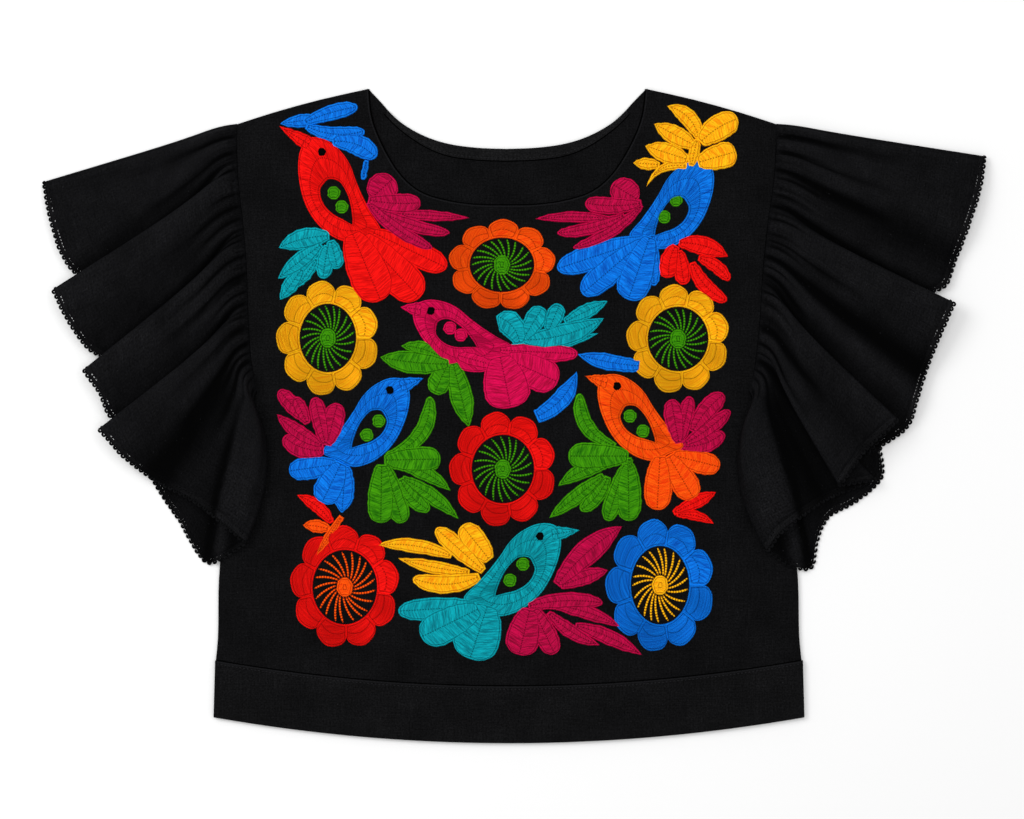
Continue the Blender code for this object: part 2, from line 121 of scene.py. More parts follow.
# %% Smooth lines and mapped grids
def ease(value):
    """0 below 0, 1 above 1 and a smooth step between."""
    value = min(max(value, 0.0), 1.0)
    return value * value * (3.0 - 2.0 * value)


def smooth_path(rows, spacing, period=None, measured=2):
    """Points about `spacing` apart on a centripetal Catmull-Rom curve through the rows."""
    points = [np.array(row, float) for row in rows]
    if period is not None:
        turn = np.array(period, float)
        points = [points[-1] - turn] + points + [points[0] + turn, points[1] + turn]
    else:
        points = [2 * points[0] - points[1]] + points + [2 * points[-1] - points[-2]]
    path = []
    for p0, p1, p2, p3 in zip(points, points[1:], points[2:], points[3:]):
        k0, k1, k2 = (
            max(np.linalg.norm((b - a)[:measured]), 1e-6) ** 0.5
            for a, b in ((p0, p1), (p1, p2), (p2, p3))
        )
        start = ((p1 - p0) / k0 - (p2 - p0) / (k0 + k1) + (p2 - p1) / k1) * k1
        end = ((p2 - p1) / k1 - (p3 - p1) / (k1 + k2) + (p3 - p2) / k2) * k1
        count = max(1, round(np.linalg.norm((p2 - p1)[:measured]) / spacing))
        for step in range(count):
            t = step / count
            path.append(
                (2 * t**3 - 3 * t**2 + 1) * p1
                + (t**3 - 2 * t**2 + t) * start
                + (3 * t**2 - 2 * t**3) * p2
                + (t**3 - t**2) * end
            )
    if period is None:
        path.append(points[-2])
    return path


def even_points(line, count):
    """`count` points spread evenly along a line of points."""
    line = np.array(line, float)
    steps = np.linalg.norm(np.diff(line[:, :2], axis=0), axis=1)
    reached = np.concatenate([[0.0], np.cumsum(steps)])
    wanted = np.linspace(0.0, reached[-1], count)
    return np.array([np.interp(wanted, reached, line[:, k]) for k in range(line.shape[1])]).T


def mapped_grid(bm, across, along, place, kept="rim"):
    """Adds a grid of across x along cells whose point at (u, v) is moved to place(u, v).

    place gives (x, y, z, s, t) in millimetres: s and t go to the UV map and say where on the
    cloth or the stitches the point is. A sixth number goes to the attribute that is kept: the
    distance from a stitch's rim, or how far a fold of cloth stands out.
    """
    uv = bm.loops.layers.uv.get("cloth") or bm.loops.layers.uv.new("cloth")
    layer = bm.verts.layers.float.get(kept) or bm.verts.layers.float.new(kept)
    made = bmesh.ops.create_grid(bm, x_segments=across, y_segments=along, size=1.0)["verts"]
    spots = {}
    for vert in made:
        x, y, z, s, t, *more = place((vert.co.x + 1) / 2, (vert.co.y + 1) / 2)
        spots[vert] = (s, t)
        vert[layer] = sum(more)
        vert.co = Vector((x, y, z)) * MM
    for face in {face for vert in made for face in vert.link_faces}:
        for loop in face.loops:
            loop[uv].uv = spots[loop.vert]


print("helpers ready")

# %% [markdown]
# Plain black cotton is never one flat black. It has a fine weave, thicker threads here and there,
# soft crumples from folding, and specks of lint. All the cloth pieces share one node group for
# this, which reads the cloth's own UV map in millimetres, so that the weave follows the folds.
# A node tree is long to write out, so short helpers that add and link nodes come first.

# %% Helpers for shader nodes
def add(tree, kind, sockets=None, **settings):
    """Adds a shader node. sockets gives its inputs as values or as other nodes' outputs."""
    made = tree.nodes.new("ShaderNode" + kind)
    for key, value in settings.items():
        setattr(made, key, value)
    for key, value in (sockets or {}).items():
        if isinstance(value, bpy.types.NodeSocket):
            tree.links.new(value, made.inputs[key])
        else:
            made.inputs[key].default_value = value
    return made


def new_group(name, inputs, outputs):
    """An empty node group with its sockets, and its input and output nodes."""
    group = bpy.data.node_groups.new(name, "ShaderNodeTree")
    for label, kind, value in inputs:
        socket = group.interface.new_socket(label, in_out="INPUT", socket_type="NodeSocket" + kind)
        if value is not None:
            socket.default_value = value
    for label, kind in outputs:
        group.interface.new_socket(label, in_out="OUTPUT", socket_type="NodeSocket" + kind)
    return group, group.nodes.new("NodeGroupInput"), group.nodes.new("NodeGroupOutput")


def maths(tree, operation, *values):
    """The output of a Math node."""
    return add(tree, "Math", dict(enumerate(values)), operation=operation).outputs[0]


def times(tree, first, second):
    """The product of two values."""
    return maths(tree, "MULTIPLY", first, second)


def plus(tree, first, second):
    """The sum of two values."""
    return maths(tree, "ADD", first, second)


def minus(tree, first, second):
    """The difference of two values."""
    return maths(tree, "SUBTRACT", first, second)


def ranged(tree, value, low=0.0, high=1.0, to_low=0.0, to_high=1.0):
    """A value moved from one range to another and kept inside it."""
    spans = {"From Min": low, "From Max": high, "To Min": to_low, "To Max": to_high}
    return add(tree, "MapRange", {"Value": value, **spans}).outputs[0]


def mixed(tree, share, first, second):
    """A colour between two, by a share."""
    sockets = {"Factor": share, "A": first, "B": second}
    return add(tree, "Mix", sockets, data_type="RGBA").outputs["Result"]


def scaled(tree, colour, amount):
    """A colour times an amount."""
    sockets = {0: colour, "Scale": amount}
    return add(tree, "VectorMath", sockets, operation="SCALE").outputs[0]


def noise(tree, vector, scale, detail=2.0, stretch=(1.0, 1.0, 1.0)):
    """The value of a noise, finer for a larger scale, on a vector that may be stretched."""
    placed = add(tree, "Mapping", {"Vector": vector, "Scale": stretch}).outputs[0]
    sockets = {"Vector": placed, "Scale": scale, "Detail": detail}
    return add(tree, "TexNoise", sockets).outputs["Fac"]


def hand_over(tree, colour, rough, relief, depth, group_out):
    """Links a group's results to its outputs, with the relief as a bump of this depth."""
    bump = add(tree, "Bump", {"Height": relief, "Strength": 1.0, "Distance": depth})
    results = {"Color": colour, "Roughness": rough, "Normal": bump.outputs[0]}
    for label, result in results.items():
        tree.links.new(result, group_out.inputs[label])


def dressed_material(name, group, attribute, values, gloss):
    """A material that places a group, fed by the piece's own map, an attribute and values."""
    material = bpy.data.materials.new(name)
    material.use_nodes = True
    tree = material.node_tree
    shader = tree.nodes["Principled BSDF"].inputs
    placed = add(tree, "Group", node_tree=group)
    tree.links.new(add(tree, "UVMap", uv_map="cloth").outputs[0], placed.inputs["Place"])
    reader = add(tree, "Attribute", attribute_name=attribute)
    tree.links.new(reader.outputs["Fac"], placed.inputs[attribute.title()])
    for label, value in values.items():
        placed.inputs[label].default_value = value
    for label, socket in (("Color", "Base Color"), ("Roughness",) * 2, ("Normal",) * 2):
        tree.links.new(placed.outputs[label], shader[socket])
    shader["Specular IOR Level"].default_value = gloss
    return material


GROUP_RESULTS = [("Color", "Color"), ("Roughness", "Float"), ("Normal", "Vector")]
print("node helpers ready")

# %% [markdown]
# The weave comes from two sine waves a thread apart, warp and weft. Long thin noises are the
# thicker threads, a wide soft one is the crumple, and fine ones are the fuzz and the lint. The
# attribute "crest" says where a fold of a sleeve stands out: there the colour is painted
# lighter, a painted highlight, and in the hollows between the folds darker, a painted shade.

# %% Woven cotton
THREAD_PITCH, WEAVE_DEPTH = 0.5, 0.0007
SLUB_STRETCH = ((0.05, 0.9, 1.0), (0.9, 0.05, 1.0))
LINT_COLOUR, SHEEN_TINT, SHEEN_SPREAD = (0.03, 0.03, 0.033, 1), (0.35, 0.37, 0.45, 1), 0.6
woven, woven_in, woven_out = new_group(
    "woven_cotton",
    [("Place", "Vector", None), ("Cloth", "Color", (0.007, 0.007, 0.008, 1)),
     ("Lint", "Float", 0.5), ("Crumple", "Float", 1.0), ("Crest", "Float", 0.0)],
    GROUP_RESULTS,
)
cloth_place = woven_in.outputs["Place"]
apart = add(woven, "SeparateXYZ", {"Vector": cloth_place})
# A noise's scale is per millimetre, and a small stretch makes its grains long that way.
warp, weft = (
    maths(woven, "SINE", times(woven, apart.outputs[k], 2 * np.pi / THREAD_PITCH)) for k in (0, 1)
)
over_under = times(woven, warp, weft)
slubs = plus(woven, *(noise(woven, cloth_place, 1.0, 2.0, stretch) for stretch in SLUB_STRETCH))
crumple = times(woven, noise(woven, cloth_place, 0.035, 3.0), woven_in.outputs["Crumple"])
fuzz = noise(woven, cloth_place, 0.7, 3.0)
specks = noise(woven, cloth_place, 0.55, 1.0)
lint = times(woven, ranged(woven, specks, 0.74, 0.84), woven_in.outputs["Lint"])
shade = ranged(woven, slubs, 0.6, 1.4, 0.6, 1.5)
# painted light and shade: the cloth's colour is raised on the sleeve's crests and lowered in its
# hollows
painted_crest_light_and_shade = ranged(woven, woven_in.outputs["Crest"], -1.0, 1.0, 0.15, 2.5)
patchy = ranged(woven, noise(woven, cloth_place, 0.03, 4.0), 0.0, 1.0, 0.4, 1.7)
grain = ranged(woven, fuzz, 0.3, 0.7, 0.35, 1.7)
shade = times(woven, times(woven, shade, painted_crest_light_and_shade), times(woven, patchy, grain))
toned = scaled(woven, woven_in.outputs["Cloth"], shade)
relief = plus(woven, times(woven, over_under, 0.07), times(woven, slubs, 0.25))
relief = plus(woven, relief, times(woven, fuzz, 0.25))
relief = plus(woven, relief, times(woven, crumple, 3.5))
cloth_rough = ranged(woven, fuzz, 0.0, 1.0, 0.8, 0.98)
linted = mixed(woven, lint, toned, LINT_COLOUR)
hand_over(woven, linted, cloth_rough, relief, WEAVE_DEPTH, woven_out)


def cotton(name, colour, lint=0.5, crumple=1.0, sheen=0.01, gloss=0.035):
    """A black cotton that reads the piece's cloth map."""
    values = {"Cloth": colour, "Lint": lint, "Crumple": crumple}
    material = dressed_material(name, woven, "crest", values, gloss)
    shader = material.node_tree.nodes["Principled BSDF"].inputs
    shader["Sheen Weight"].default_value = sheen
    shader["Sheen Roughness"].default_value = SHEEN_SPREAD
    shader["Sheen Tint"].default_value = SHEEN_TINT
    return material


BODICE_COTTON = cotton("bodice_cotton", (0.0021, 0.0021, 0.0023, 1))
BAND_COTTON = cotton("hem_band_cotton", (0.0026, 0.0026, 0.0028, 1), lint=0.7)
FACING_COTTON = cotton("facing_cotton", (0.0038, 0.0038, 0.0040, 1), lint=0.7)
SLEEVE_COTTON = cotton(
    "sleeve_cotton", (0.0018, 0.0018, 0.0020, 1), lint=0.9, crumple=2.2, gloss=0.024
)
print("cottons", [m.name for m in (BODICE_COTTON, BAND_COTTON, FACING_COTTON, SLEEVE_COTTON)])

# %% [markdown]
# The bodice is two flat panels with a hem band sewn below each. A panel is easiest as its
# outline: one face through the outline's points, cut into small cells by planes, whose points
# are then lifted to the height of the cloth. The tables hold one half, measured from the centre
# line and from the lowest point of the hem, as a pattern cutter would measure it.

# %% The pattern of the bodice
CENTRE_SHIFT = (-4.453, -278.011)
CLOTH, BAND_CLOTH, FACING_CLOTH, SEAM_GAP = 1.2, 1.8, 1.0, 0.3
HEM_HALF_WIDTH, HEM_RISE, BAND_DEPTH, BAND_OVERHANG = 251.0, 22.0, 48.5, 1.3
PANEL_FOOT_HALF_WIDTH = 248.9
SIDE_SEAM = ((247.0, 90.0), (246.0, 140.0), (242.0, 175.0), (233.0, 215.0), (220.0, 262.0))
UNDERARM = (209.0, 299.0)
ARMHOLE = (
    UNDERARM, (213.0, 318.0), (216.5, 350.0), (219.0, 400.0),
    (222.5, 440.0), (227.0, 475.0), (228.5, 500.0), (229.0, 526.0),
)
UNDERARM_TUCK = ((221.0, 262.0), (220.5, 282.0), (219.0, 297.0))
SHOULDER_TIP, NECK_POINT = ARMHOLE[-1], (118.0, 556.0)
SHOULDER_SEAM = (SHOULDER_TIP, (198.0, 536.0), (158.0, 547.0), NECK_POINT)
FRONT_NECKLINE = (
    NECK_POINT, (116.0, 536.0), (110.0, 517.0), (91.0, 484.0),
    (73.0, 468.5), (50.0, 461.0), (25.0, 457.5), (0.0, 457.0),
)
BACK_NECKLINE = (
    NECK_POINT, (107.0, 544.5), (98.0, 534.5), (88.0, 526.0),
    (70.0, 516.0), (50.0, 509.5), (25.0, 506.0), (0.0, 505.0),
)
SWAY = ((0.0, 0.0), (150.0, -0.5), (300.0, -5.0), (480.0, -2.5), (560.0, -1.5))
RIDGES = (
    # from x, y to x, y, then height and spread: soft ridges first, sharper creases after
    (-200.0, 528.0, -186.0, 420.0, 1.5, 17.0),
    (-205.0, 330.0, -150.0, 260.0, 0.9, 20.0),
    (196.0, 530.0, 178.0, 430.0, 1.4, 18.0),
    (192.0, 400.0, 168.0, 250.0, 1.0, 20.0),
    (-40.0, 440.0, 30.0, 300.0, 0.6, 45.0),
    (60.0, 230.0, 150.0, 120.0, 0.6, 40.0),
    (-160.0, 130.0, -70.0, 200.0, 0.6, 38.0),
    (-196.0, 520.0, -196.0, 495.0, 0.5, 3.5),
    (-206.0, 310.0, -203.0, 193.0, 0.45, 4.0),
    (-203.0, 193.0, -196.0, 130.0, 0.4, 4.0),
    (-196.0, 171.0, -170.0, 176.0, 0.35, 3.5),
    (191.0, 232.0, 191.0, 147.0, 0.45, 4.0),
    (-198.0, 518.0, -228.0, 502.0, 0.9, 6.0),
    (198.0, 546.0, 226.0, 504.0, 0.9, 6.0),
    (205.0, 470.0, 219.0, 420.0, 0.6, 6.0),
    (-222.0, 300.0, -178.0, 352.0, 0.5, 6.0),
    (214.0, 290.0, 186.0, 340.0, 0.5, 6.0),
)
FRONT_AT_SEAM, FRONT_LIFT, LIFT_REACH = 2.1, 0.9, 22.0
print("pattern of", len(SIDE_SEAM) + len(ARMHOLE), "points a side and", len(RIDGES), "ridges")

# %% [markdown]
# The outlines come from the pattern by mirroring one half, so the blouse is as even as a sewn
# one, and the whole is then shifted a little at each height, because the real one lies slightly
# askew. The front panel's height is the cloth's thickness, a lift away from its seams and the
# ridges, added up at each point.

# %% Outlines and heights of the bodice
def sway(y):
    """How far the centre line strays across at this height."""
    heights, shifts = zip(*SWAY)
    return float(np.interp(y, heights, shifts))


def hem_y(x):
    """The finished bottom edge, a shallow arc."""
    return HEM_RISE * (x / HEM_HALF_WIDTH) ** 2


def in_frame(points):
    """Pattern points moved to the CAD's frame."""
    return [(x + CENTRE_SHIFT[0], y + CENTRE_SHIFT[1]) for x, y in points]


def panel_outline(neckline, tucked=False):
    """The outline of a panel, anticlockwise from above.

    The back reaches a little further at the underarm, under the sleeve, as its seam allowance.
    """
    foot = PANEL_FOOT_HALF_WIDTH
    seam = [(x, BAND_DEPTH + hem_y(x) + SEAM_GAP / 2) for x in np.linspace(-foot, foot, 41)]
    side_rows = SIDE_SEAM[:-1] + UNDERARM_TUCK if tucked else SIDE_SEAM + (UNDERARM,)
    side = smooth_path((seam[-1],) + side_rows, 12.0)[:-1]
    armhole = smooth_path(((side_rows[-1],) if tucked else ()) + ARMHOLE[tucked:], 8.0)[:-1]
    shoulder = smooth_path(SHOULDER_SEAM, 20.0)[:-1]
    right = [tuple(p) for p in side + armhole + shoulder + smooth_path(neckline, 5.0)]
    left = [(-x, y) for x, y in reversed(right[:-1])]
    return in_frame([(x + sway(y), y) for x, y in right + left + seam[1:-1]])


def band_outline():
    """The outline of a hem band."""
    top = HEM_HALF_WIDTH - BAND_OVERHANG
    low = [(x, hem_y(x)) for x in np.linspace(-HEM_HALF_WIDTH, HEM_HALF_WIDTH, 41)]
    return in_frame(low + [(x, BAND_DEPTH + hem_y(x)) for x in np.linspace(top, -top, 41)])


def side_seam_x(y):
    """How far the side seam is from the centre line at this height of the pattern."""
    xs, ys = zip(*SIDE_SEAM, UNDERARM)
    return float(np.interp(y, ys, xs))


def front_height(x, y):
    """The middle of the front panel's cloth over the table, at a point of the CAD's frame."""
    x, y = x - CENTRE_SHIFT[0], y - CENTRE_SHIFT[1]
    across = abs(x - sway(y))
    tip, neck = Vector(SHOULDER_TIP), Vector(NECK_POINT)
    to_shoulder = abs((neck - tip).normalized().cross(Vector((across, y)) - tip))
    to_side = side_seam_x(y) - across
    if y > UNDERARM[1]:
        to_side = Vector((across - UNDERARM[0], y - UNDERARM[1])).length
    inside = ease(min(max(to_side, 0.0), to_shoulder) / LIFT_REACH)
    lift = FRONT_LIFT
    for x0, y0, x1, y1, height, spread in RIDGES:
        start, run = Vector((x0, y0)), Vector((x1 - x0, y1 - y0))
        share = (Vector((x, y)) - start).dot(run) / run.length_squared
        distance = (Vector((x, y)) - start - run * min(max(share, 0.0), 1.0)).length
        lift += height * float(np.exp(-((distance / spread) ** 2)))
    return FRONT_AT_SEAM + inside * lift


def front_top(x, y):
    """The upper face of the front panel, where the embroidery lies."""
    return front_height(x, y) + CLOTH / 2


print("front panel's outline has", len(panel_outline(FRONT_NECKLINE)), "points")

# %% [markdown]
# The front panel is cut into cells of 5 mm, fine enough for the soft ridges where half a garment
# lies on its other half, and the flat pieces into larger ones. Solidify gives the cloth its
# thickness, and a small bevel rounds its cut edges, as a turned hem does. The area of each cut
# piece is printed.

# %% Panels, bands and the neck facing
EDGE_ROUND, FLAT_CELL, FRONT_CELL, FACING_CELL, LEAST_SHARE = 0.42, 20.0, 5.0, 10.0, 0.301


def polygon_area(outline):
    """The area inside an outline, in square metres."""
    xs, ys = np.array(outline).T * MM
    return abs(float(np.dot(xs, np.roll(ys, 1)) - np.dot(ys, np.roll(xs, 1)))) / 2


def cut_piece(name, outline, height_at, thickness, material, cell):
    """A cut piece of cloth that lies flat, as its filled outline in small cells."""
    bm = bmesh.new()
    uv = bm.loops.layers.uv.new("cloth")
    bm.faces.new([bm.verts.new((x * MM, y * MM, 0.0)) for x, y in outline])
    for axis in (0, 1):
        places = [point[axis] for point in outline]
        direction = Vector((1 - axis, axis, 0))
        for place in np.arange(min(places) + cell, max(places), cell):
            bmesh.ops.bisect_plane(
                bm, geom=bm.verts[:] + bm.edges[:] + bm.faces[:], dist=1e-6,
                plane_co=direction * float(place) * MM, plane_no=direction,
            )
    for face in bm.faces:
        for loop in face.loops:
            loop[uv].uv = (loop.vert.co.x / MM, loop.vert.co.y / MM)
    for vert in bm.verts:
        vert.co.z = height_at(vert.co.x / MM, vert.co.y / MM) * MM
    piece = finished(name, bm, material)
    wall = piece.modifiers.new("wall", "SOLIDIFY")
    wall.thickness, wall.offset = thickness * MM, 0.0
    soft = piece.modifiers.new("soft_edge", "BEVEL")
    soft.width, soft.segments, soft.limit_method = EDGE_ROUND * thickness * MM, 2, "ANGLE"
    soft.angle_limit = 1.0
    print(name, "faces", len(piece.data.polygons), "area", round(polygon_area(outline), 4))
    return piece


def facing_outline():
    """The strip that faces the back neck, narrower towards the shoulders."""
    width, end_width, half_span, taper = 10.0, 4.0, 103.0, 0.6
    line = [p for p in smooth_path(BACK_NECKLINE, 5.0) if p[0] <= half_span]
    inner = []
    for place, point in enumerate(line):
        ahead, behind = line[min(place + 1, len(line) - 1)], line[max(place - 1, 0)]
        along = Vector(ahead - behind).normalized()
        away = Vector((-along.y, along.x)) * (-1 if along.x > 0 else 1)
        size = end_width + (width - end_width) * ease((half_span - point[0]) / (taper * half_span))
        inner.append((point[0] + away.x * size, point[1] + away.y * size))
    outer = [(p[0], p[1]) for p in line]
    upper = outer + [(-x, y) for x, y in reversed(outer[:-1])]
    lower = inner + [(-x, y) for x, y in reversed(inner[:-1])]
    whole, seam = ([(x + sway(y), y) for x, y in row] for row in (upper + lower[::-1], lower))
    return in_frame(whole), in_frame(seam)


FACING_OUTLINE, FACING_SEAM = facing_outline()
BODICE = (
    # name, node it stands for, outline, middle height, thickness, cotton, cell
    ("front", "front_panel", panel_outline(FRONT_NECKLINE),
     front_height, CLOTH, BODICE_COTTON, FRONT_CELL),
    ("back", "back_panel", panel_outline(BACK_NECKLINE, True),
     lambda x, y: CLOTH / 2, CLOTH, BODICE_COTTON, FLAT_CELL),
    ("front_band", "front_hem_band", band_outline(),
     lambda x, y: BAND_CLOTH * 1.5 + SEAM_GAP, BAND_CLOTH, BAND_COTTON, FLAT_CELL),
    ("back_band", "back_hem_band", band_outline(),
     lambda x, y: BAND_CLOTH / 2, BAND_CLOTH, BAND_COTTON, FLAT_CELL),
    ("neck_facing", "back_neck_facing", FACING_OUTLINE,
     lambda x, y: CLOTH + SEAM_GAP + FACING_CLOTH / 2, FACING_CLOTH, FACING_COTTON, FACING_CELL),
)
for name, node, outline, height_at, thickness, material, cell in BODICE:
    piece = cut_piece(name, outline, height_at, thickness, material, cell)
    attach(piece, "root")
    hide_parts(node)
    xs, ys = np.array(outline).T
    flat = (float(np.ptp(xs)) * MM, float(np.ptp(ys)) * MM)
    area = max(polygon_area(outline), LEAST_SHARE * flat[0] * flat[1])

# %% [markdown]
# Each sleeve is a gathered ruffle all round the armhole. Laid flat, its front half folds over
# itself in deep pleats while the back half lies on the table. A table row is one line of the
# cloth, from the armhole out to the hem: how far down the armhole it starts, where it ends, how
# high it lies there, how it puffs and bends, and whether the cloth turns back at it.

# %% The folds of the sleeves
# rows of seam, x, y, z, puff, bow, turn
LEFT_FRONT = (
    (0, -397, 476, 2.9, 0.6, 0, 1), (11, -391, 446, 8.5, 5, 0, 0), (22, -380, 413, 8, 6, 0, 0),
    (29, -368, 397, 4.6, 3.5, 0, 0), (34.5, -339, 383, 4.6, 2, 0, 1),
    (42, -387, 384, 14.5, 7, 0, 1), (65, -375, 359, 15, 8, 0, 0), (86, -354, 331, 8, 4.5, 0, 0),
    (92, -320, 322, 4.8, 2, 0, 1), (100, -361, 316, 14.5, 7.5, 0, 1),
    (124, -348, 297, 14, 8, 0, 0), (147, -337, 274, 8, 4.5, 0, 0),
    (153.5, -303, 268, 4.8, 2, 0, 1), (161.5, -348, 266, 14.5, 7.5, 0, 1),
    (177, -326, 241, 13, 7, 0, 0), (192, -301, 222, 8, 2, 0, 0), (204, -270, 206, 12, 7, 5, 0),
    (217, -241, 184, 12, 8, 13, 0),
)
LEFT_BACK = (
    (228, -224, 169, 6, 1.3, 14, -1), (218, -240, 158, 0.4, 0.8, 6, 0),
    (210, -256, 151, 0.2, 0.5, 0, 0), (202, -270, 168, 0.2, 0.3, 0, 0),
    (193, -281, 188, 0.6, 0.3, 0, 0), (183, -296, 209, 0.1, 0.3, 0, 0),
    (170, -314, 241, 0.6, 0.3, 0, 0), (150, -329, 273, 0, 0.3, 0, 0),
    (122, -341, 318, 0.6, 0.3, 0, 0), (92, -352, 359, 0, 0.3, 0, 0),
    (62, -359, 392, 0.5, 0.3, 0, 0), (34, -377, 428, 0, 0.3, 0, 0),
    (14, -390, 458, 0.3, 0.3, 0, 0),
)
RIGHT_FRONT = (
    (0, 406, 498, 2.9, 0.6, 0, 1), (14, 401, 470, 8, 5, 0, 0), (28, 391, 438, 9, 7, 0, 0),
    (43, 381, 411, 5.2, 2, 0, 0), (63, 371, 387, 4.6, 4, 0, 0), (69, 343, 380, 4.8, 2, 0, 1),
    (77, 378, 373, 14.5, 7, 0, 1), (97, 365, 343, 14.5, 8, 0, 0), (112, 354, 312, 8, 2.5, 0, 0),
    (119, 347, 290, 9, 4, 0, 0), (127, 339, 267, 4.8, 3, 0, 0), (134.5, 303, 243, 4.8, 2, 0, 1),
    (143, 330, 274, 14.5, 7, 0, 1), (170, 304, 250, 17, 8, 0, 0), (191, 280, 218, 15, 7, 0, -1),
    (199, 312, 223, 7.6, 2.5, 0, -1), (205.5, 269, 205, 5.5, 2, 0, 0),
    (212.5, 248, 191, 10, 6, -8, 0), (220, 229, 176, 11.5, 8, -17, 0),
)
RIGHT_BACK = (
    (228, 220, 162, 6, 1.3, -18, -1), (218, 238, 150, 0.4, 0.8, -8, 0),
    (210, 257, 147, 0.2, 0.5, 0, 0), (202, 262, 169, 0.5, 0.3, 0, 0),
    (192, 272, 190, 0.1, 0.3, 0, 0), (180, 296, 204, 0.6, 0.3, 0, 0),
    (168, 318, 225, 0.1, 0.3, 0, 0), (150, 317, 252, 0.6, 0.3, 0, 0),
    (124, 332, 300, 0, 0.3, 0, 0), (96, 351, 343, 0.6, 0.3, 0, 0), (66, 359, 378, 0, 0.3, 0, 0),
    (36, 377, 424, 0.5, 0.3, 0, 0), (15, 396, 475, 0.2, 0.3, 0, 0),
)
print("rows", [len(rows) for rows in (LEFT_FRONT, LEFT_BACK, RIGHT_FRONT, RIGHT_BACK)])

# %% [markdown]
# Between the rows, a smooth closed curve gives a line of cloth every few millimetres. On its way
# out each line puffs up beside the seam, rolls over the armhole and sinks to the height of its
# fold. Gathers of three sizes, from deep tucks to fine puckers, fade as they leave the seam.

# %% Lines and gathers of a sleeve
HEM_WIDTH, SLEEVE_CLOTH, LINE_SPACING = 7.0, 0.8, 3.2
TURN_LENGTH, TURN_RISE, TURN_SEAM, TURN_PUFF = 5.0, 2.0, 2.2, 1.3
PUFF_AT, ROLL, ROLL_AT, DROP_POWER = 0.16, 6.0, 0.08, 0.7
FLOOR_LAYER, OVER_PANEL, OVER_PANEL_REACH = 0.8, 3.9, 12.0
SEAM_FRONT, SEAM_BACK, SEAM_OFFSET, ARMHOLE_DEPTH = 2.5, 0.6, 0.15, 228.0
GATHERS = (
    # height, pitch round the armhole, how far out they reach, as a share
    (3.8, 23.0, 0.65),
    (2.6, 9.1, 0.30),
    (1.2, 4.9, 0.15),
)
GATHER_START, GATHER_BACK, WANDER, WANDER_LENGTH = 0.03, 0.25, 1.3, 13.0


def turned_rows(rows):
    """The rows in order as (x, y, z, round, puff, bow), each fold as three close rows."""
    placed = []
    for place, (around, x, y, z, puff, bow, turn) in enumerate(rows):
        if turn:
            here = np.array([x, y])
            for after, neighbour in ((-1, rows[place - 1]), (1, rows[(place + 1) % len(rows)])):
                towards = np.array(neighbour[1:3]) - here
                towards = towards / np.linalg.norm(towards) * TURN_LENGTH
                lift = max(puff + after * turn * TURN_PUFF, 0.0)
                placed.append((x + towards[0], y + towards[1], z + after * turn * TURN_RISE,
                               around + after * TURN_SEAM, lift, bow))
            placed.insert(-1, (x, y, z, around, puff, bow))
        else:
            placed.append((x, y, z, around, puff, bow))
    return placed


def sleeve_lines(front, back, side):
    """The lines of a sleeve, each as a dictionary that says where and how it lies."""
    path = np.array(smooth_path(ARMHOLE, 6.0)[::-1])
    reached = np.concatenate([[0.0], np.cumsum(np.linalg.norm(np.diff(path, axis=0), axis=1))])
    length = reached[-1]
    scale = length / ARMHOLE_DEPTH
    ring = [(row[0] * scale,) + row[1:] for row in front]
    ring += [(2 * length - row[0] * scale,) + row[1:] for row in back]
    lines = []
    for row in smooth_path(turned_rows(ring), LINE_SPACING, (0, 0, 0, 2 * length, 0, 0), 3):
        x, y, z, around, puff, bow = row
        past = around if around < 1.5 * length else around - 2 * length
        inside = min(past, length - past) / (2 * TURN_SEAM)
        seam = min(abs(past), 2 * length - past)
        start_x = float(np.interp(seam, reached, path[:, 0]))
        start_y = float(np.interp(seam, reached, path[:, 1]))
        start = np.array([side * (start_x + SEAM_OFFSET) + sway(start_y), start_y])
        lines.append({
            "start": start, "start_z": SEAM_BACK + (SEAM_FRONT - SEAM_BACK) * ease(inside + 0.5),
            "end": np.array([x, y]), "z": z, "puff": puff, "bow": bow, "around": around,
            "front": ease(inside), "length": float(np.linalg.norm(np.array([x, y]) - start)),
        })
    return lines


def over_panel(x, y, side):
    """How much higher the cloth lies here because the front panel is under it."""
    across = side * (x - sway(y))
    near = ease((side_seam_x(y) + OVER_PANEL_REACH - across) / OVER_PANEL_REACH)
    return OVER_PANEL * near * ease((UNDERARM[1] - y) / OVER_PANEL_REACH)


def sleeve_point(line, share, side):
    """A point of the cloth at this share of its way out, as x, y, z in the CAD's frame."""
    start, end = line["start"], line["end"]
    place = start + (end - start) * share
    place = place + np.array([line["bow"], 0.0]) * 4 * share * (1 - share)
    roll = ROLL * (share / ROLL_AT) * np.exp(1 - share / ROLL_AT) * (share < 1)
    place = place + np.array([side * roll, 0.0])
    rise = (share / PUFF_AT) * np.exp(1 - share / PUFF_AT)
    low = line["start_z"]
    height = low + (FLOOR_LAYER + line["z"] - low) * share**DROP_POWER + line["puff"] * rise
    for depth, pitch, reach in GATHERS:
        fade = max(0.0, 1 - share / reach) * min(1.0, share / GATHER_START)
        stray = WANDER * np.sin(line["around"] / WANDER_LENGTH + pitch)
        wave = abs(np.sin(np.pi * line["around"] / pitch + stray))
        height += depth * (GATHER_BACK + (1 - GATHER_BACK) * line["front"]) * fade * wave
    height += over_panel(place[0], place[1], side)
    return (place[0] + CENTRE_SHIFT[0], place[1] + CENTRE_SHIFT[1], max(height, SLEEVE_CLOTH / 2))


def hem_distances(lines):
    """How far round the hem each line ends, in millimetres, with the whole way round last."""
    ends = np.array([(line["end"][0], line["end"][1], line["z"]) for line in lines])
    steps = np.linalg.norm(np.diff(np.vstack([ends, ends[:1]]), axis=0), axis=1)
    return np.concatenate([[0.0], np.cumsum(steps)])


print("gathers every", [pitch for _, pitch, _ in GATHERS], "mm")
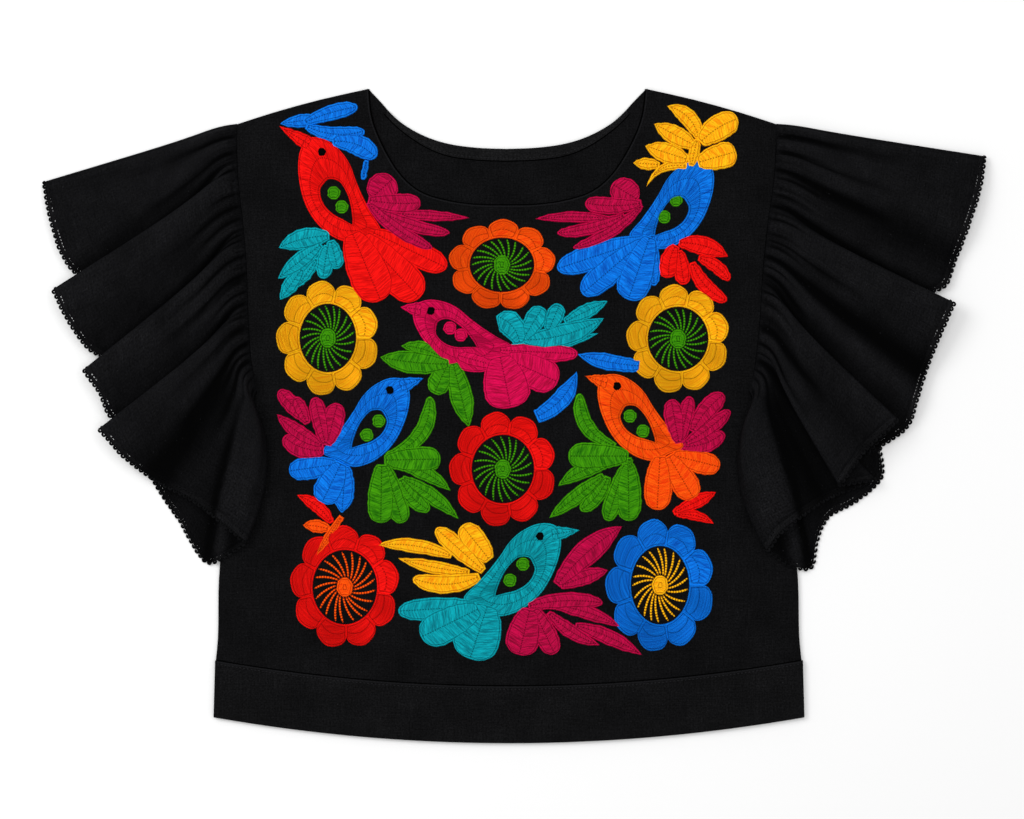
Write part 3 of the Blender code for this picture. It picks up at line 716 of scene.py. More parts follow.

# %% [markdown]
# The lines become a tube by mapping a grid on them and merging its two ends. A point that stands
# higher than its neighbours, near or far, is a crest. That goes to an attribute, which the cotton
# uses to paint a highlight on the crests and shade in the hollows.

# %% A sleeve as a tube
CREST_WINDOWS = (
    # lines to each side, height that counts as a full crest, share
    (3, 0.6, 0.8),
    (12, 2.2, 0.75),
)


def tube(name, lines, side, share_at, along, material, thickness, from_hem=False):
    """A closed tube of cloth through the lines. share_at(line, v) says how far out a row is.

    The cloth's map counts from the armhole, or from the start of the hem's edging.
    """
    bm = bmesh.new()
    count, hem = len(lines), hem_distances(lines)
    heights = np.array([
        [sleeve_point(line, share_at(line, j / along), side)[2] for line in lines]
        for j in range(along + 1)
    ])
    crests = 0.0
    for reach, size, part in CREST_WINDOWS:
        around = [np.roll(heights, k, axis=1) for k in range(-reach, reach + 1)]
        crests = crests + part / size * (heights - sum(around) / len(around))

    def place(u, v):
        k = round(u * count)
        line = lines[k % count]
        share = share_at(line, v)
        crest = float(np.clip(crests[round(v * along), k % count], -1, 1))
        counted = share * line["length"] - (line["length"] - HEM_WIDTH) * from_hem
        return sleeve_point(line, share, side) + (hem[k], counted, crest)

    mapped_grid(bm, count, along, place, "crest")
    bmesh.ops.remove_doubles(bm, verts=bm.verts, dist=1e-7)
    bmesh.ops.recalc_face_normals(bm, faces=bm.faces)
    top = max(bm.faces, key=lambda face: face.calc_center_median().z)
    if top.normal.z < 0:
        bmesh.ops.reverse_faces(bm, faces=bm.faces)
    area = sum(face.calc_area() for face in bm.faces)
    piece = finished(name, bm, material)
    wall = piece.modifiers.new("wall", "SOLIDIFY")
    wall.thickness, wall.offset = thickness * MM, 0.0
    print(name, "faces", len(piece.data.polygons), "cloth", round(area, 4))
    return piece, area, hem[-1] * MM


print("crests are sought over", [2 * reach + 1 for reach, _, _ in CREST_WINDOWS], "lines")

# %% [markdown]
# The edging along the sleeve's hem is a narrow crochet strip: a row of small open holes beside
# the cloth and a row of picots at the rim. The holes are at most 1.5 mm long, so the material
# leaves them clear by a mask on the strip's own map. The picots are real loops of thread.

# %% Edging and picots
PICOT_PITCH, PICOT_RADIUS, PICOT_THREAD, PICOT_FOOT, PICOT_AIM = 4.9, 1.45, 1.0, 4.0, 1.5
HOLE_PITCH, HOLE_LENGTH, HOLE_WIDTH, HOLE_AT = 2.9, 1.5, 0.65, 1.3
EDGING_CLOTH, SLEEVE_ROWS, STRIP_ROWS, ROWS_CLOSER, STRIP_END = 0.7, 44, 4, 1.5, 2.4
edging_cotton = cotton("edging_cotton", (0.0019, 0.0019, 0.0021, 1), lint=0.6, crumple=0.3)
tree = edging_cotton.node_tree
strip = add(tree, "SeparateXYZ", {"Vector": add(tree, "UVMap", uv_map="cloth").outputs[0]})
hole_across = maths(tree, "FRACT", maths(tree, "DIVIDE", strip.outputs["X"], HOLE_PITCH))
hole_across = times(tree, minus(tree, hole_across, 0.5), 2 * HOLE_PITCH / HOLE_LENGTH)
hole_out = times(tree, minus(tree, strip.outputs["Y"], HOLE_AT), 2 / HOLE_WIDTH)
hole_radius = plus(tree, times(tree, hole_across, hole_across), times(tree, hole_out, hole_out))
worked_shut = maths(tree, "GREATER_THAN", noise(tree, strip.outputs["X"], 0.06, 2.0), 0.5)
open_mesh = maths(tree, "MAXIMUM", maths(tree, "GREATER_THAN", hole_radius, 1.0), worked_shut)
tree.links.new(open_mesh, tree.nodes["Principled BSDF"].inputs["Alpha"])
print("edging holes", HOLE_PITCH, "mm apart, picots", PICOT_PITCH, "mm apart")


def picots(name, lines, side, material):
    """Small loops of thread along the hem, one mesh for the whole row."""
    bm = bmesh.new()
    hem = hem_distances(lines)
    closed = lines + [lines[0]]
    tips = np.array([sleeve_point(line, 1.0, side) for line in closed])
    feet = np.array([
        sleeve_point(line, 1 - PICOT_FOOT / line["length"], side) for line in closed
    ])

    def on(rows, at):
        return Vector([np.interp(at, hem, rows[:, axis]) for axis in range(3)])

    count = int(hem[-1] / PICOT_PITCH)
    for k in range(count):
        at = hem[-1] * k / count
        tip = on(tips, at)
        out = (tip - on(feet, at)).normalized()
        along = (on(tips, at + PICOT_AIM) - on(tips, at - PICOT_AIM)).normalized()
        up = out.cross(along).normalized()
        along = up.cross(out)
        size = PICOT_RADIUS * random.uniform(0.85, 1.15)
        middle = tip - out * (PICOT_RADIUS + PICOT_THREAD)

        def loop_place(u, v):
            turn, ring = np.pi * (1.25 * u - 0.125), 2 * np.pi * v
            reach = size + PICOT_THREAD * np.cos(ring)
            spot = middle + along * (reach * np.cos(turn)) + out * (reach * np.sin(turn))
            spot = spot + up * (PICOT_THREAD * np.sin(ring))
            return spot.x, spot.y, spot.z, at + 2 * u, HEM_WIDTH + v

        mapped_grid(bm, 6, 4, loop_place)
    bmesh.ops.remove_doubles(bm, verts=bm.verts, dist=1e-7)
    bmesh.ops.recalc_face_normals(bm, faces=bm.faces)
    print(name, "picots", count, "faces", len(bm.faces))
    return finished(name, bm, material)


def ruffle_share(line, v):
    """The sleeve's rows, close together near the gathers."""
    return v**ROWS_CLOSER * (1 - HEM_WIDTH / line["length"])


def strip_share(line, v):
    """The edging's rows, over the last of the sleeve's length."""
    return 1 - (HEM_WIDTH - v * (HEM_WIDTH - STRIP_END)) / line["length"]


for word, front, back, side in (
    ("left", LEFT_FRONT, LEFT_BACK, -1.0), ("right", RIGHT_FRONT, RIGHT_BACK, 1.0)
):
    lines = sleeve_lines(front, back, side)
    ruffle, area, hem = tube(
        "ruffle_" + word, lines, side, ruffle_share, SLEEVE_ROWS, SLEEVE_COTTON, SLEEVE_CLOTH
    )
    edging, *_ = tube(
        "edging_strip_" + word, lines, side, strip_share, STRIP_ROWS, edging_cotton,
        EDGING_CLOTH, from_hem=True,
    )
    rim = picots("picots_" + word, lines, side, edging_cotton)
    for piece, node in ((ruffle, "sleeve_" + word), (edging, "edging_" + word)):
        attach(piece, "root")
        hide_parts(node)
    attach(rim, "root")

# %% [markdown]
# The embroidery is satin stitch. Threads lie side by side across each leaf, a row of small gaps
# runs down its middle, and a raised outline closes its rim. Threads are thinner than a pixel, so
# the material draws them. It reads the pad's own map (how far along, how far from the middle
# line, in millimetres) and the attribute "rim", which is the distance from the pad's edge.

# %% Satin thread as a node group
SATIN_DEPTH, SLANT, DASH_PITCH, DASH_LENGTH, BAND_PITCH = 0.0009, 0.35, 2.3, 0.55, 13.0
satin, satin_in, satin_out = new_group(
    "satin_stitch",
    [("Place", "Vector", None), ("Rim", "Float", 1.0), ("Thread", "Color", (0.5, 0.1, 0.1, 1)),
     ("Shaded", "Color", (0.2, 0.0, 0.0, 1)), ("Pitch", "Float", 0.55), ("Marks", "Float", 1.0),
     ("Bands", "Float", 0.0), ("Beads", "Float", 0.0)],
    GROUP_RESULTS,
)


def bell(tree, value, middle, spread):
    """1 where the value is at the middle, fading over the spread."""
    off = maths(tree, "DIVIDE", minus(tree, value, middle), spread)
    return maths(tree, "EXPONENT", times(tree, times(tree, off, off), -1.0))


stitch_place, rim_distance = satin_in.outputs["Place"], satin_in.outputs["Rim"]
thread_colour, shaded_colour = satin_in.outputs["Thread"], satin_in.outputs["Shaded"]
parts = add(satin, "SeparateXYZ", {"Vector": stitch_place})
stitch_x, stitch_y = parts.outputs["X"], parts.outputs["Y"]
from_middle = maths(satin, "ABSOLUTE", stitch_y)
slanted = plus(satin, stitch_x, times(satin, from_middle, SLANT))
slanted = plus(satin, slanted, times(satin, noise(satin, stitch_place, 0.45, 1.0), 1.2))
turns = maths(satin, "DIVIDE", slanted, satin_in.outputs["Pitch"])
thread_ridge = maths(satin, "SINE", times(satin, turns, 2 * np.pi))
slant_place = add(satin, "CombineXYZ", {"X": slanted, "Y": stitch_y}).outputs[0]
streak = noise(satin, slant_place, 1.0, 2.0, (0.85, 0.07, 1.0))
cloud = noise(satin, stitch_place, 0.11, 1.0)
print("satin stitches read", [socket.name for socket in satin_in.outputs if socket.name])

# %% [markdown]
# The same group then draws what lies on the threads, as masks: the outline at the rim with a
# groove and a second line inside it, the gaps between beads of chain stitch, the dashes down the
# middle of a leaf and the bands across a bird. The outline is a little higher than the threads
# and painted brighter, a painted highlight; the groove and the gaps between beads are painted
# darker, as painted shade, and the dashes and bands are darker marks.

# %% Outline, gaps and bands of the satin stitch
outline, groove, inner_line = (
    bell(satin, rim_distance, at, spread) for at, spread in ((0.9, 0.45), (1.9, 0.4), (2.9, 0.4))
)
gap = times(satin, ranged(satin, thread_ridge, 0.1, -0.8), satin_in.outputs["Beads"])
dash_share = maths(satin, "FRACT", maths(satin, "DIVIDE", stitch_x, DASH_PITCH))
dash = maths(satin, "LESS_THAN", dash_share, DASH_LENGTH)
marks = times(satin, dash, bell(satin, from_middle, 0.0, 0.45))
marks = times(satin, marks, maths(satin, "GREATER_THAN", rim_distance, 1.6))
marks = times(satin, marks, satin_in.outputs["Marks"])
band_share = maths(satin, "FRACT", maths(satin, "DIVIDE", stitch_x, BAND_PITCH))
bands = bell(satin, times(satin, band_share, BAND_PITCH), BAND_PITCH / 2, 0.45)
marks = maths(satin, "MAXIMUM", marks, times(satin, bands, satin_in.outputs["Bands"]))
# The tone between the shaded and the lit colour is partly painted light: the streaks are painted
# sheen and each thread's ridge a painted highlight; the cloud shifts the tone at random.
tone = ranged(satin, streak, 0.38, 0.62)
tone = plus(satin, times(satin, tone, 0.8), times(satin, thread_ridge, 0.15))
tone = ranged(satin, plus(satin, tone, times(satin, cloud, 0.35)))
stitched = mixed(satin, tone, shaded_colour, thread_colour)
# The outline's brighter colour is a painted highlight on its ridge; the darker groove and bead
# gaps are painted shade.
for mask, share, colour, amount in (
    # mask, its share, the colour it turns the thread to, how bright
    (outline, 0.7, thread_colour, 1.2),
    (inner_line, 0.4, thread_colour, 1.0),
    (gap, 0.85, shaded_colour, 0.15),
    (groove, 0.6, shaded_colour, 0.4),
    (marks, 0.75, shaded_colour, 0.2),
):
    line_colour = scaled(satin, colour, amount)
    stitched = mixed(satin, times(satin, mask, share), stitched, line_colour)
raised = plus(satin, times(satin, thread_ridge, 0.10), times(satin, outline, 0.55))
raised = minus(satin, raised, times(satin, groove, 0.35))
raised = minus(satin, raised, times(satin, marks, 0.6))
raised = plus(satin, raised, times(satin, streak, 0.8))
satin_rough = ranged(satin, streak, 0.0, 1.0, 0.5, 0.7)
hand_over(satin, stitched, satin_rough, raised, SATIN_DEPTH, satin_out)
print("satin group has", len(satin.nodes), "nodes")

# %% [markdown]
# Each skein of thread has a lit colour and a shaded one, given as screen colours: the satin is
# painted between them, as painted sheen and shade. From a skein come satin for leaves and petals,
# banded plumage for birds, beaded chain for the flowers' eyes, and plain satin without a row of
# dashes for their hearts and the berries.

# %% Skeins of thread
def srgb(colour):
    """A screen colour, 0 to 255, as the linear colour that a shader takes."""
    shares = [c / 255 for c in colour]
    return [s / 12.92 if s < 0.04045 else ((s + 0.055) / 1.055) ** 2.4 for s in shares] + [1.0]


def thread(name, light, shaded_tone, pitch=0.55, marks=1.0, bands=0.0, beads=0.0, gloss=0.045):
    """A stitched material in one colour of thread."""
    values = {"Thread": srgb(light), "Shaded": srgb(shaded_tone), "Pitch": pitch, "Marks": marks,
              "Bands": bands, "Beads": beads}
    return dressed_material(name, satin, "rim", values, gloss)


SKEINS = {
    # thread, lit colour, shaded colour: painted light and shade of the same thread
    "blue": ((10, 126, 238), (2, 66, 164)),
    "magenta": ((200, 8, 72), (114, 2, 36)),
    "pink": ((222, 8, 82), (148, 2, 44)),
    "red": ((252, 18, 14), (188, 2, 2)),
    "yellow": ((255, 194, 20), (236, 122, 0)),
    "orange": ((252, 90, 8), (228, 46, 0)),
    "teal": ((8, 170, 184), (2, 100, 114)),
    "green": ((68, 154, 7), (12, 84, 1)),
}
SATIN = {name: thread("satin_" + name, *pair) for name, pair in SKEINS.items()}
PLUMAGE = {
    name: thread("plumage_" + name, *SKEINS[name], bands=0.6)
    for name in ("red", "blue", "pink", "orange", "teal")
}
EYE = thread("satin_eye", (4, 4, 4), (3, 3, 3), marks=0.0, gloss=0.02)
CHAIN = {
    name: thread("chain_" + name, *SKEINS[name], pitch=2.3, marks=0.0, beads=1.0)
    for name in ("green", "orange", "yellow")
}
PLAIN = {
    name: thread("plain_" + name, *SKEINS[name], marks=0.0)
    for name in ("green", "orange", "yellow", "pink")
}
print("threads", [len(kind) for kind in (SATIN, PLUMAGE, CHAIN, PLAIN)])

# %% [markdown]
# Every leaf, petal, feather, berry and chain of stitches is one kind of shape: a low padded
# pillow along a bent middle line. So one function makes them all from a table row: root, tip,
# width, bend, how far along it is widest, and a kind that says how its two ends are rounded. Its
# rim is sunk a little into the cloth, so no light shows under it.

# %% The padded stitch shape
PAD_HEIGHT, PAD_SINK, PAD_ROUND, PAD_RIM = 1.0, 0.35, 1.4, 0.5
LAYER, UNEVEN_LONG, UNEVEN_SHORT, SHORT_SHARE = 0.15, 0.85, 1.7, 0.7
KINDS = {
    # kind: share of the width at the root, roundness there, then two powers of the tip
    "leaf": (0.35, 0.8, 1.9, 0.9),
    "petal": (0.36, 0.75, 2.6, 0.5),
    "oval": (0.0, 0.5, 2.0, 0.5),
    "stem": (0.75, 0.9, 6.0, 0.5),
    "blunt": (0.70, 0.9, 1.6, 1.0),
}


def half_width(share, width, belly, kind):
    """Half the pad's width at this share of its length."""
    root, roundness, tip_bend, tip_power = KINDS[kind]
    if share < belly:
        rise = (1 - (1 - share / belly) ** 2) ** roundness
        return width / 2 * (root + (1 - root) * rise)
    return width / 2 * max(1 - ((share - belly) / (1 - belly)) ** tip_bend, 0.0) ** tip_power


def pad_rise(rim, height):
    """How far a pad stands over the cloth at this distance from its edge."""
    crown = height * (1 - (1 - min(rim / PAD_ROUND, 1)) ** 2)
    return crown - PAD_SINK * (1 - min(rim / PAD_RIM, 1))


def pad(bm, row, height=PAD_HEIGHT, ground=front_top, cells=(8, 18), wobble=0.28):
    """Adds one padded pillow of stitches."""
    x0, y0, x1, y1, width, bend, belly, kind = row
    root, run = Vector((x0, y0)), Vector((x1 - x0, y1 - y0))
    length = run.length
    left = Vector((-run.y, run.x)) / length

    def place(u, v):
        share = (1 - np.cos(np.pi * v)) / 2
        side = np.sin(np.pi / 2 * (1 - 2 * u))
        half = half_width(share, width, belly, kind)
        uneven = np.sin(UNEVEN_LONG * share * length + x0 + 2 * side)
        uneven += SHORT_SHARE * np.sin(UNEVEN_SHORT * share * length + y0)
        half += wobble * uneven * min(half / 3, 1)
        slope = (run + left * bend * 4 * (1 - 2 * share)).normalized()
        middle = root + run * share + left * (bend * 4 * share * (1 - share))
        spot = middle + Vector((-slope.y, slope.x)) * (half * side)
        rim = max(min(half * (1 - abs(side)), share * length, (1 - share) * length), 0.0)
        z = ground(spot.x, spot.y) + pad_rise(rim, height)
        return spot.x, spot.y, z, share * length, half * side, rim

    mapped_grid(bm, cells[0], cells[1], place)


def layered_pads(bm, rows, fuller, height, cells=(8, 18)):
    """Adds a table of pads, each a little higher than the one before."""
    for place, (x0, y0, x1, y1, width, *rest) in enumerate(rows):
        row = (x0, y0, x1, y1, fuller * width, *rest)
        pad(bm, row, height + LAYER * place, cells=cells)


def button(bm, place, size, height, fullness=1.0, cells=(14, 24)):
    """Adds a round or oval pad."""
    x, y = place
    row = (x, y - size, x, y + size, 2 * size * fullness, 0, 0.5, "oval")
    pad(bm, row, height, cells=cells)


def sewn(name, bm, material):
    """The finished object of some stitches, which rides with the cloth they are sewn on."""
    bmesh.ops.remove_doubles(bm, verts=bm.verts, dist=2e-6)
    bm.normal_update()
    bmesh.ops.reverse_faces(bm, faces=[face for face in bm.faces if face.normal.z < 0])
    piece = finished(name, bm, material)
    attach(piece, "root")
    return piece


print("pad kinds", ", ".join(KINDS))

# %% [markdown]
# The sprays of leaves and petals fill the spaces between birds and flowers. Each spray is a short
# table of pads in the order in which they are sewn, so that later ones lie a little higher.

# %% Sprays of leaves
SPRAY_FULLER = 1.07
SPRAYS = {
    # spray: skein, rows of root x, y, tip x, y, width, bend, belly, kind
    "leaves_top_left": ("blue", (
        (-163.4, 253.2, -199.1, 248.1, 11, 0, 0.5, "leaf"),
        (-178.7, 249.0, -132.8, 262.6, 12.8, 1.7, 0.6, "petal"),
        (-177.0, 246.4, -126.9, 242.2, 12.8, -5.1, 0.6, "petal"),
        (-154.9, 232.8, -117.5, 219.2, 17, 5.1, 0.6, "petal"),
        (-125.2, 217.5, -128.6, 200.5, 5.1, 0, 0.5, "stem"),
    )),
    "spray_top_left": ("magenta", (
        (-121.8, 184.4, -102.2, 202.2, 25.5, 0, 0.5, "oval"),
        (-97.1, 171.6, -37.6, 168.2, 9.3, 0, 0.4, "leaf"),
        (-115.8, 175.0, -54.6, 155.5, 11, -3.4, 0.5, "petal"),
        (-124.3, 181.8, -69.1, 141.9, 11.9, -4.2, 0.5, "petal"),
        (-124.3, 183.5, -79.3, 181.0, 16.1, -1.7, 0.7, "petal"),
    )),
    "leaves_left": ("teal", (
        (-166.8, 134.2, -184.7, 108.7, 9.3, 0, 0.5, "leaf"),
        (-179.6, 125.7, -199.1, 98.5, 12.8, 0, 0.5, "leaf"),
        (-163.4, 146.1, -200.8, 116.4, 14.4, 0, 0.5, "leaf"),
        (-156.6, 152.9, -200.0, 142.7, 17, -2.5, 0.5, "leaf"),
        (-158.3, 145.3, -162.6, 116.4, 14.4, 0, 0.5, "petal"),
        (-155.8, 149.5, -149.8, 124.9, 13.6, 0, 0.6, "petal"),
    )),
    "leaves_top_right": ("yellow", (
        (141.7, 215.8, 165.5, 216.7, 10.2, 0, 0.5, "oval"),
        (157.0, 235.4, 129.8, 263.4, 14.4, -6, 0.5, "leaf"),
        (147.7, 211.6, 112.0, 193.7, 7.6, -8.5, 0.3, "blunt"),
        (123.9, 213.3, 100.9, 215.0, 10.2, 0, 0.5, "leaf"),
        (147.7, 217.5, 111.1, 229.4, 17, 0, 0.5, "leaf"),
        (153.6, 229.4, 118.8, 248.1, 16.1, 0, 0.5, "leaf"),
        (155.3, 215.0, 188.5, 224.3, 21.2, 0, 0.7, "petal"),
        (157.9, 232.0, 190.2, 252.4, 21.2, 2.5, 0.6, "petal"),
        (150.2, 211.6, 155.3, 235.4, 9.3, 0, 0.5, "petal"),
    )),
    "spray_top_right": ("magenta", (
        (105.2, 183.5, 83.1, 197.1, 22.9, 0, 0.5, "oval"),
        (83.1, 167.4, 17.6, 167.4, 9.3, -1.7, 0.5, "leaf"),
        (94.1, 170.8, 36.3, 155.5, 11, 3.4, 0.5, "petal"),
        (108.6, 179.3, 49.9, 142.7, 10.2, 5.1, 0.5, "petal"),
        (108.6, 181.0, 60.1, 181.0, 14.4, 2.5, 0.7, "petal"),
    )),
    "leaves_right": ("red", (
        (156.2, 134.2, 182.5, 114.7, 11, 3.4, 0.5, "petal"),
        (151.1, 130.8, 180.8, 97.7, 12.8, -5.1, 0.5, "petal"),
        (139.2, 147.0, 181.7, 135.1, 15.3, 3.4, 0.5, "leaf"),
        (140.0, 141.0, 144.3, 111.3, 13.6, 0, 0.6, "petal"),
        (137.5, 145.3, 131.5, 117.2, 16.1, -2.5, 0.7, "petal"),
    )),
    "leaves_middle": ("teal", (
        (-2.8, 59.4, 72.0, 70.5, 10.2, -3.4, 0.5, "leaf"),
        (42.3, 79.8, 79.7, 97.7, 11.9, 0, 0.5, "leaf"),
        (28.7, 71.3, 38.9, 95.1, 14.4, 0, 0.6, "petal"),
        (6.6, 64.5, 76.3, 83.2, 18.7, -5.1, 0.5, "leaf"),
        (6.6, 63.7, 24.4, 92.6, 17, 0, 0.65, "petal"),
        (4.9, 60.3, -15.5, 84.9, 20.4, -5.1, 0.65, "leaf"),
    )),
    "leaves_centre_left": ("green", (
        (-57.2, 46.7, -96.3, 59.4, 13.6, -3.4, 0.5, "leaf"),
        (-56.3, 44.1, -68.2, 18.6, 18.7, 0, 0.55, "petal"),
        (-52.1, 45.8, -38.5, -9.4, 18.7, 0, 0.55, "leaf"),
        (-54.6, 44.1, -114.1, 50.1, 18.7, 1.7, 0.55, "leaf"),
    )),
    "petals_left": ("magenta", (
        (-177.0, -3.5, -200.0, 22.0, 13.6, 0, 0.55, "petal"),
        (-175.3, -6.9, -186.4, 16.1, 11.9, 0, 0.55, "petal"),
        (-160.9, -29.0, -195.7, -17.1, 17, 4.2, 0.55, "petal"),
        (-161.7, -25.6, -201.7, 1.6, 12.8, 2.5, 0.55, "leaf"),
        (-159.2, -25.6, -149.8, 11.0, 17.8, 0, 0.6, "petal"),
        (-160.0, -24.7, -169.4, 16.1, 14.4, 0, 0.6, "petal"),
    )),
    "leaves_low_left": ("green", (
        (-109.0, -34.1, -71.6, 16.9, 13.6, -12.8, 0.6, "petal"),
        (-95.4, -52.8, -47.0, -87.6, 12.8, 2.5, 0.5, "leaf"),
        (-97.1, -52.8, -71.6, -80.0, 13.6, -3.4, 0.6, "petal"),
        (-103.9, -39.2, -53.8, -63.8, 12.8, 4.2, 0.5, "leaf"),
        (-110.7, -37.5, -62.3, -36.6, 21.2, 0, 0.7, "petal"),
        (-109.9, -40.9, -94.6, -91.0, 17, 0, 0.75, "petal"),
        (-112.4, -40.9, -113.3, -91.0, 22.1, 0, 0.7, "petal"),
    )),
    "petals_small_blue": ("blue", (
        (107.7, 42.4, 53.3, 52.6, 13.6, 1.7, 0.6, "blunt"),
        (18.5, -0.9, 53.3, 38.2, 15.3, -6, 0.55, "blunt"),
    )),
    "petals_right": ("magenta", (
        (140.9, -25.6, 178.3, -13.7, 15.3, -4.2, 0.55, "petal"),
        (144.3, -23.9, 183.4, 5.0, 12.8, -1.7, 0.55, "petal"),
        (151.1, -13.7, 178.3, 18.6, 16.1, 2.5, 0.6, "petal"),
        (140.9, -23.0, 149.4, 16.9, 12.8, 0, 0.6, "petal"),
        (140.0, -23.9, 133.2, 14.4, 16.1, 0, 0.6, "petal"),
    )),
    "leaves_low_right": ("green", (
        (86.5, -25.6, 55.9, 19.5, 12.8, 11, 0.6, "petal"),
        (76.3, -50.2, 29.5, -86.8, 12.8, 0, 0.5, "leaf"),
        (79.7, -51.1, 55.9, -80.0, 12.8, 3.4, 0.6, "petal"),
        (83.1, -39.2, 37.2, -59.6, 13.6, -3.4, 0.5, "leaf"),
        (97.5, -34.1, 45.7, -34.1, 22.1, 0, 0.7, "petal"),
        (93.3, -42.6, 78.8, -89.3, 14.4, 0, 0.7, "petal"),
        (96.7, -39.2, 97.5, -89.3, 21.2, 0, 0.65, "petal"),
        (97.5, -34.9, 98.4, -46.0, 6, 0, 0.5, "stem"),
    )),
    "sprig_right": ("red", (
        (137.5, -84.2, 169.8, -91.9, 8.5, 3.4, 0.5, "leaf"),
        (134.9, -82.5, 171.5, -64.7, 11, 0, 0.6, "leaf"),
    )),
    "sprig_left": ("red", (
        (-154.9, -91.0, -184.7, -67.2, 11, -3.4, 0.5, "leaf"),
    )),
    "twig_left": ("orange", (
        (-156.6, -96.1, -179.6, -92.7, 11, -0.8, 0.5, "leaf"),
        (-146.4, -85.1, -170.2, -121.6, 6.8, 0, 0.5, "blunt"),
    )),
    "petals_low_left": ("yellow", (
        (-52.9, -119.1, -117.5, -109.7, 11.9, -4.2, 0.5, "leaf"),
        (-29.1, -136.1, -86.1, -137.8, 15.3, 6, 0.55, "petal"),
        (-37.6, -132.7, -98.8, -120.8, 11, 1.7, 0.5, "leaf"),
        (-25.7, -131.8, -66.5, -95.3, 15.3, 0, 0.6, "petal"),
        (-20.6, -122.5, -44.4, -92.7, 20.4, 0, 0.6, "petal"),
    )),
    "petals_low_right": ("magenta", (
        (51.6, -177.7, 108.6, -203.2, 12.8, 2.5, 0.5, "leaf"),
        (28.7, -166.7, 72.9, -194.7, 11.9, -3.4, 0.5, "leaf"),
        (28.7, -159.9, 90.7, -179.4, 11.9, 3.4, 0.5, "leaf"),
        (11.7, -161.6, 75.4, -159.0, 13.6, 3.4, 0.5, "petal"),
        (38.9, -144.6, 79.7, -131.0, 13.6, 0.8, 0.55, "leaf"),
        (36.3, -143.7, 91.6, -93.6, 20.4, 3.4, 0.55, "leaf"),
        (15.9, -163.3, 34.6, -202.4, 18.7, 0, 0.6, "petal"),
        (13.4, -163.3, 4.0, -203.2, 27.2, 0, 0.65, "petal"),
    )),
}
for name, (skein, rows) in SPRAYS.items():
    bm = bmesh.new()
    layered_pads(bm, rows, SPRAY_FULLER, PAD_HEIGHT)
    spray = sewn(name, bm, SATIN[skein])
    print(name, len(rows), "pads,", len(spray.data.polygons), "faces")

# %% [markdown]
# A flower is a ring of nine lobed petals round an open eye. In the eye, chains of stitches swirl
# out from an oval centre, with the cloth showing dark between them. A petal is not a pillow with
# a root but a piece of a ring, so it has its own mapping.

# %% Flowers
PETALS, SPOKES, NOTCH, OVERLAP = 9, 21, 0.74, 1.05
LOBE_WAVE, PETAL_TILT, PETAL_MIDDLE, PETAL_CELLS = 0.006, 0.25, 0.45, (16, 10)
SWIRL, SPOKE_FROM, SPOKE_TO, SPOKE_STRAY = 0.5, 0.27, 0.97, 0.04
SPOKE_WIDTH, SPOKE_BEND, SPOKE_HEIGHT, SPOKE_CELLS = 2.2, -1.6, 0.6, (4, 8)
CENTRE_SIZE, CENTRE_HEIGHT, HEART_HEIGHT = 8.4, 0.9, 1.4
FLOWERS = (
    # name, centre x, y, outer radii, radii of the eye, petals, chains, turn of the first petal
    ("left", -158.3, 66.2, 44.2, 49.3, 23.8, 28.9, "yellow", "green", 0.5),
    ("right", 139.2, 65.4, 44.2, 46.8, 25.5, 27.2, "yellow", "green", 0.4),
    ("top", -10.4, 128.3, 45.9, 39.1, 27.2, 22.9, "orange", "green", 0.2),
    ("middle", -9.6, -45.1, 45.9, 49.3, 26.3, 28.9, "red", "green", 0.5),
    ("low_left", -143.9, -145.4, 46.8, 52.7, 27.2, 31.4, "red", "orange", 0.3),
    ("low_right", 123.9, -143.7, 46.8, 56.9, 24.6, 33.1, "blue", "yellow", 0.5),
)


def lobed_petal(bm, centre, outer, inner, middle_angle):
    """Adds one petal, a rounded piece of the ring between the eye and the rim."""
    half_turn = np.pi / PETALS

    def place(u, v):
        across, out = np.sin(np.pi / 2 * (1 - 2 * u)), (1 - np.cos(np.pi * v)) / 2
        angle = middle_angle + OVERLAP * half_turn * across
        wave = LOBE_WAVE * np.sin(7 * across + 9 * middle_angle)
        lobe = NOTCH + (1 - NOTCH) * (1 - across**2) ** 0.5 + wave
        turn = np.array([np.cos(angle), np.sin(angle)])
        foot, top = inner * turn, outer * turn * lobe
        depth = float(np.linalg.norm(top - foot))
        x, y = centre + foot + (top - foot) * out
        reach = float(np.linalg.norm(foot + (top - foot) * out))
        rim = min(out * depth, (1 - out) * depth, (1 - abs(across)) * half_turn * reach)
        z = front_top(x, y) + pad_rise(rim, PAD_HEIGHT + PETAL_TILT * across)
        return x, y, z, angle * reach, (out - PETAL_MIDDLE) * depth, rim

    mapped_grid(bm, *PETAL_CELLS, place)


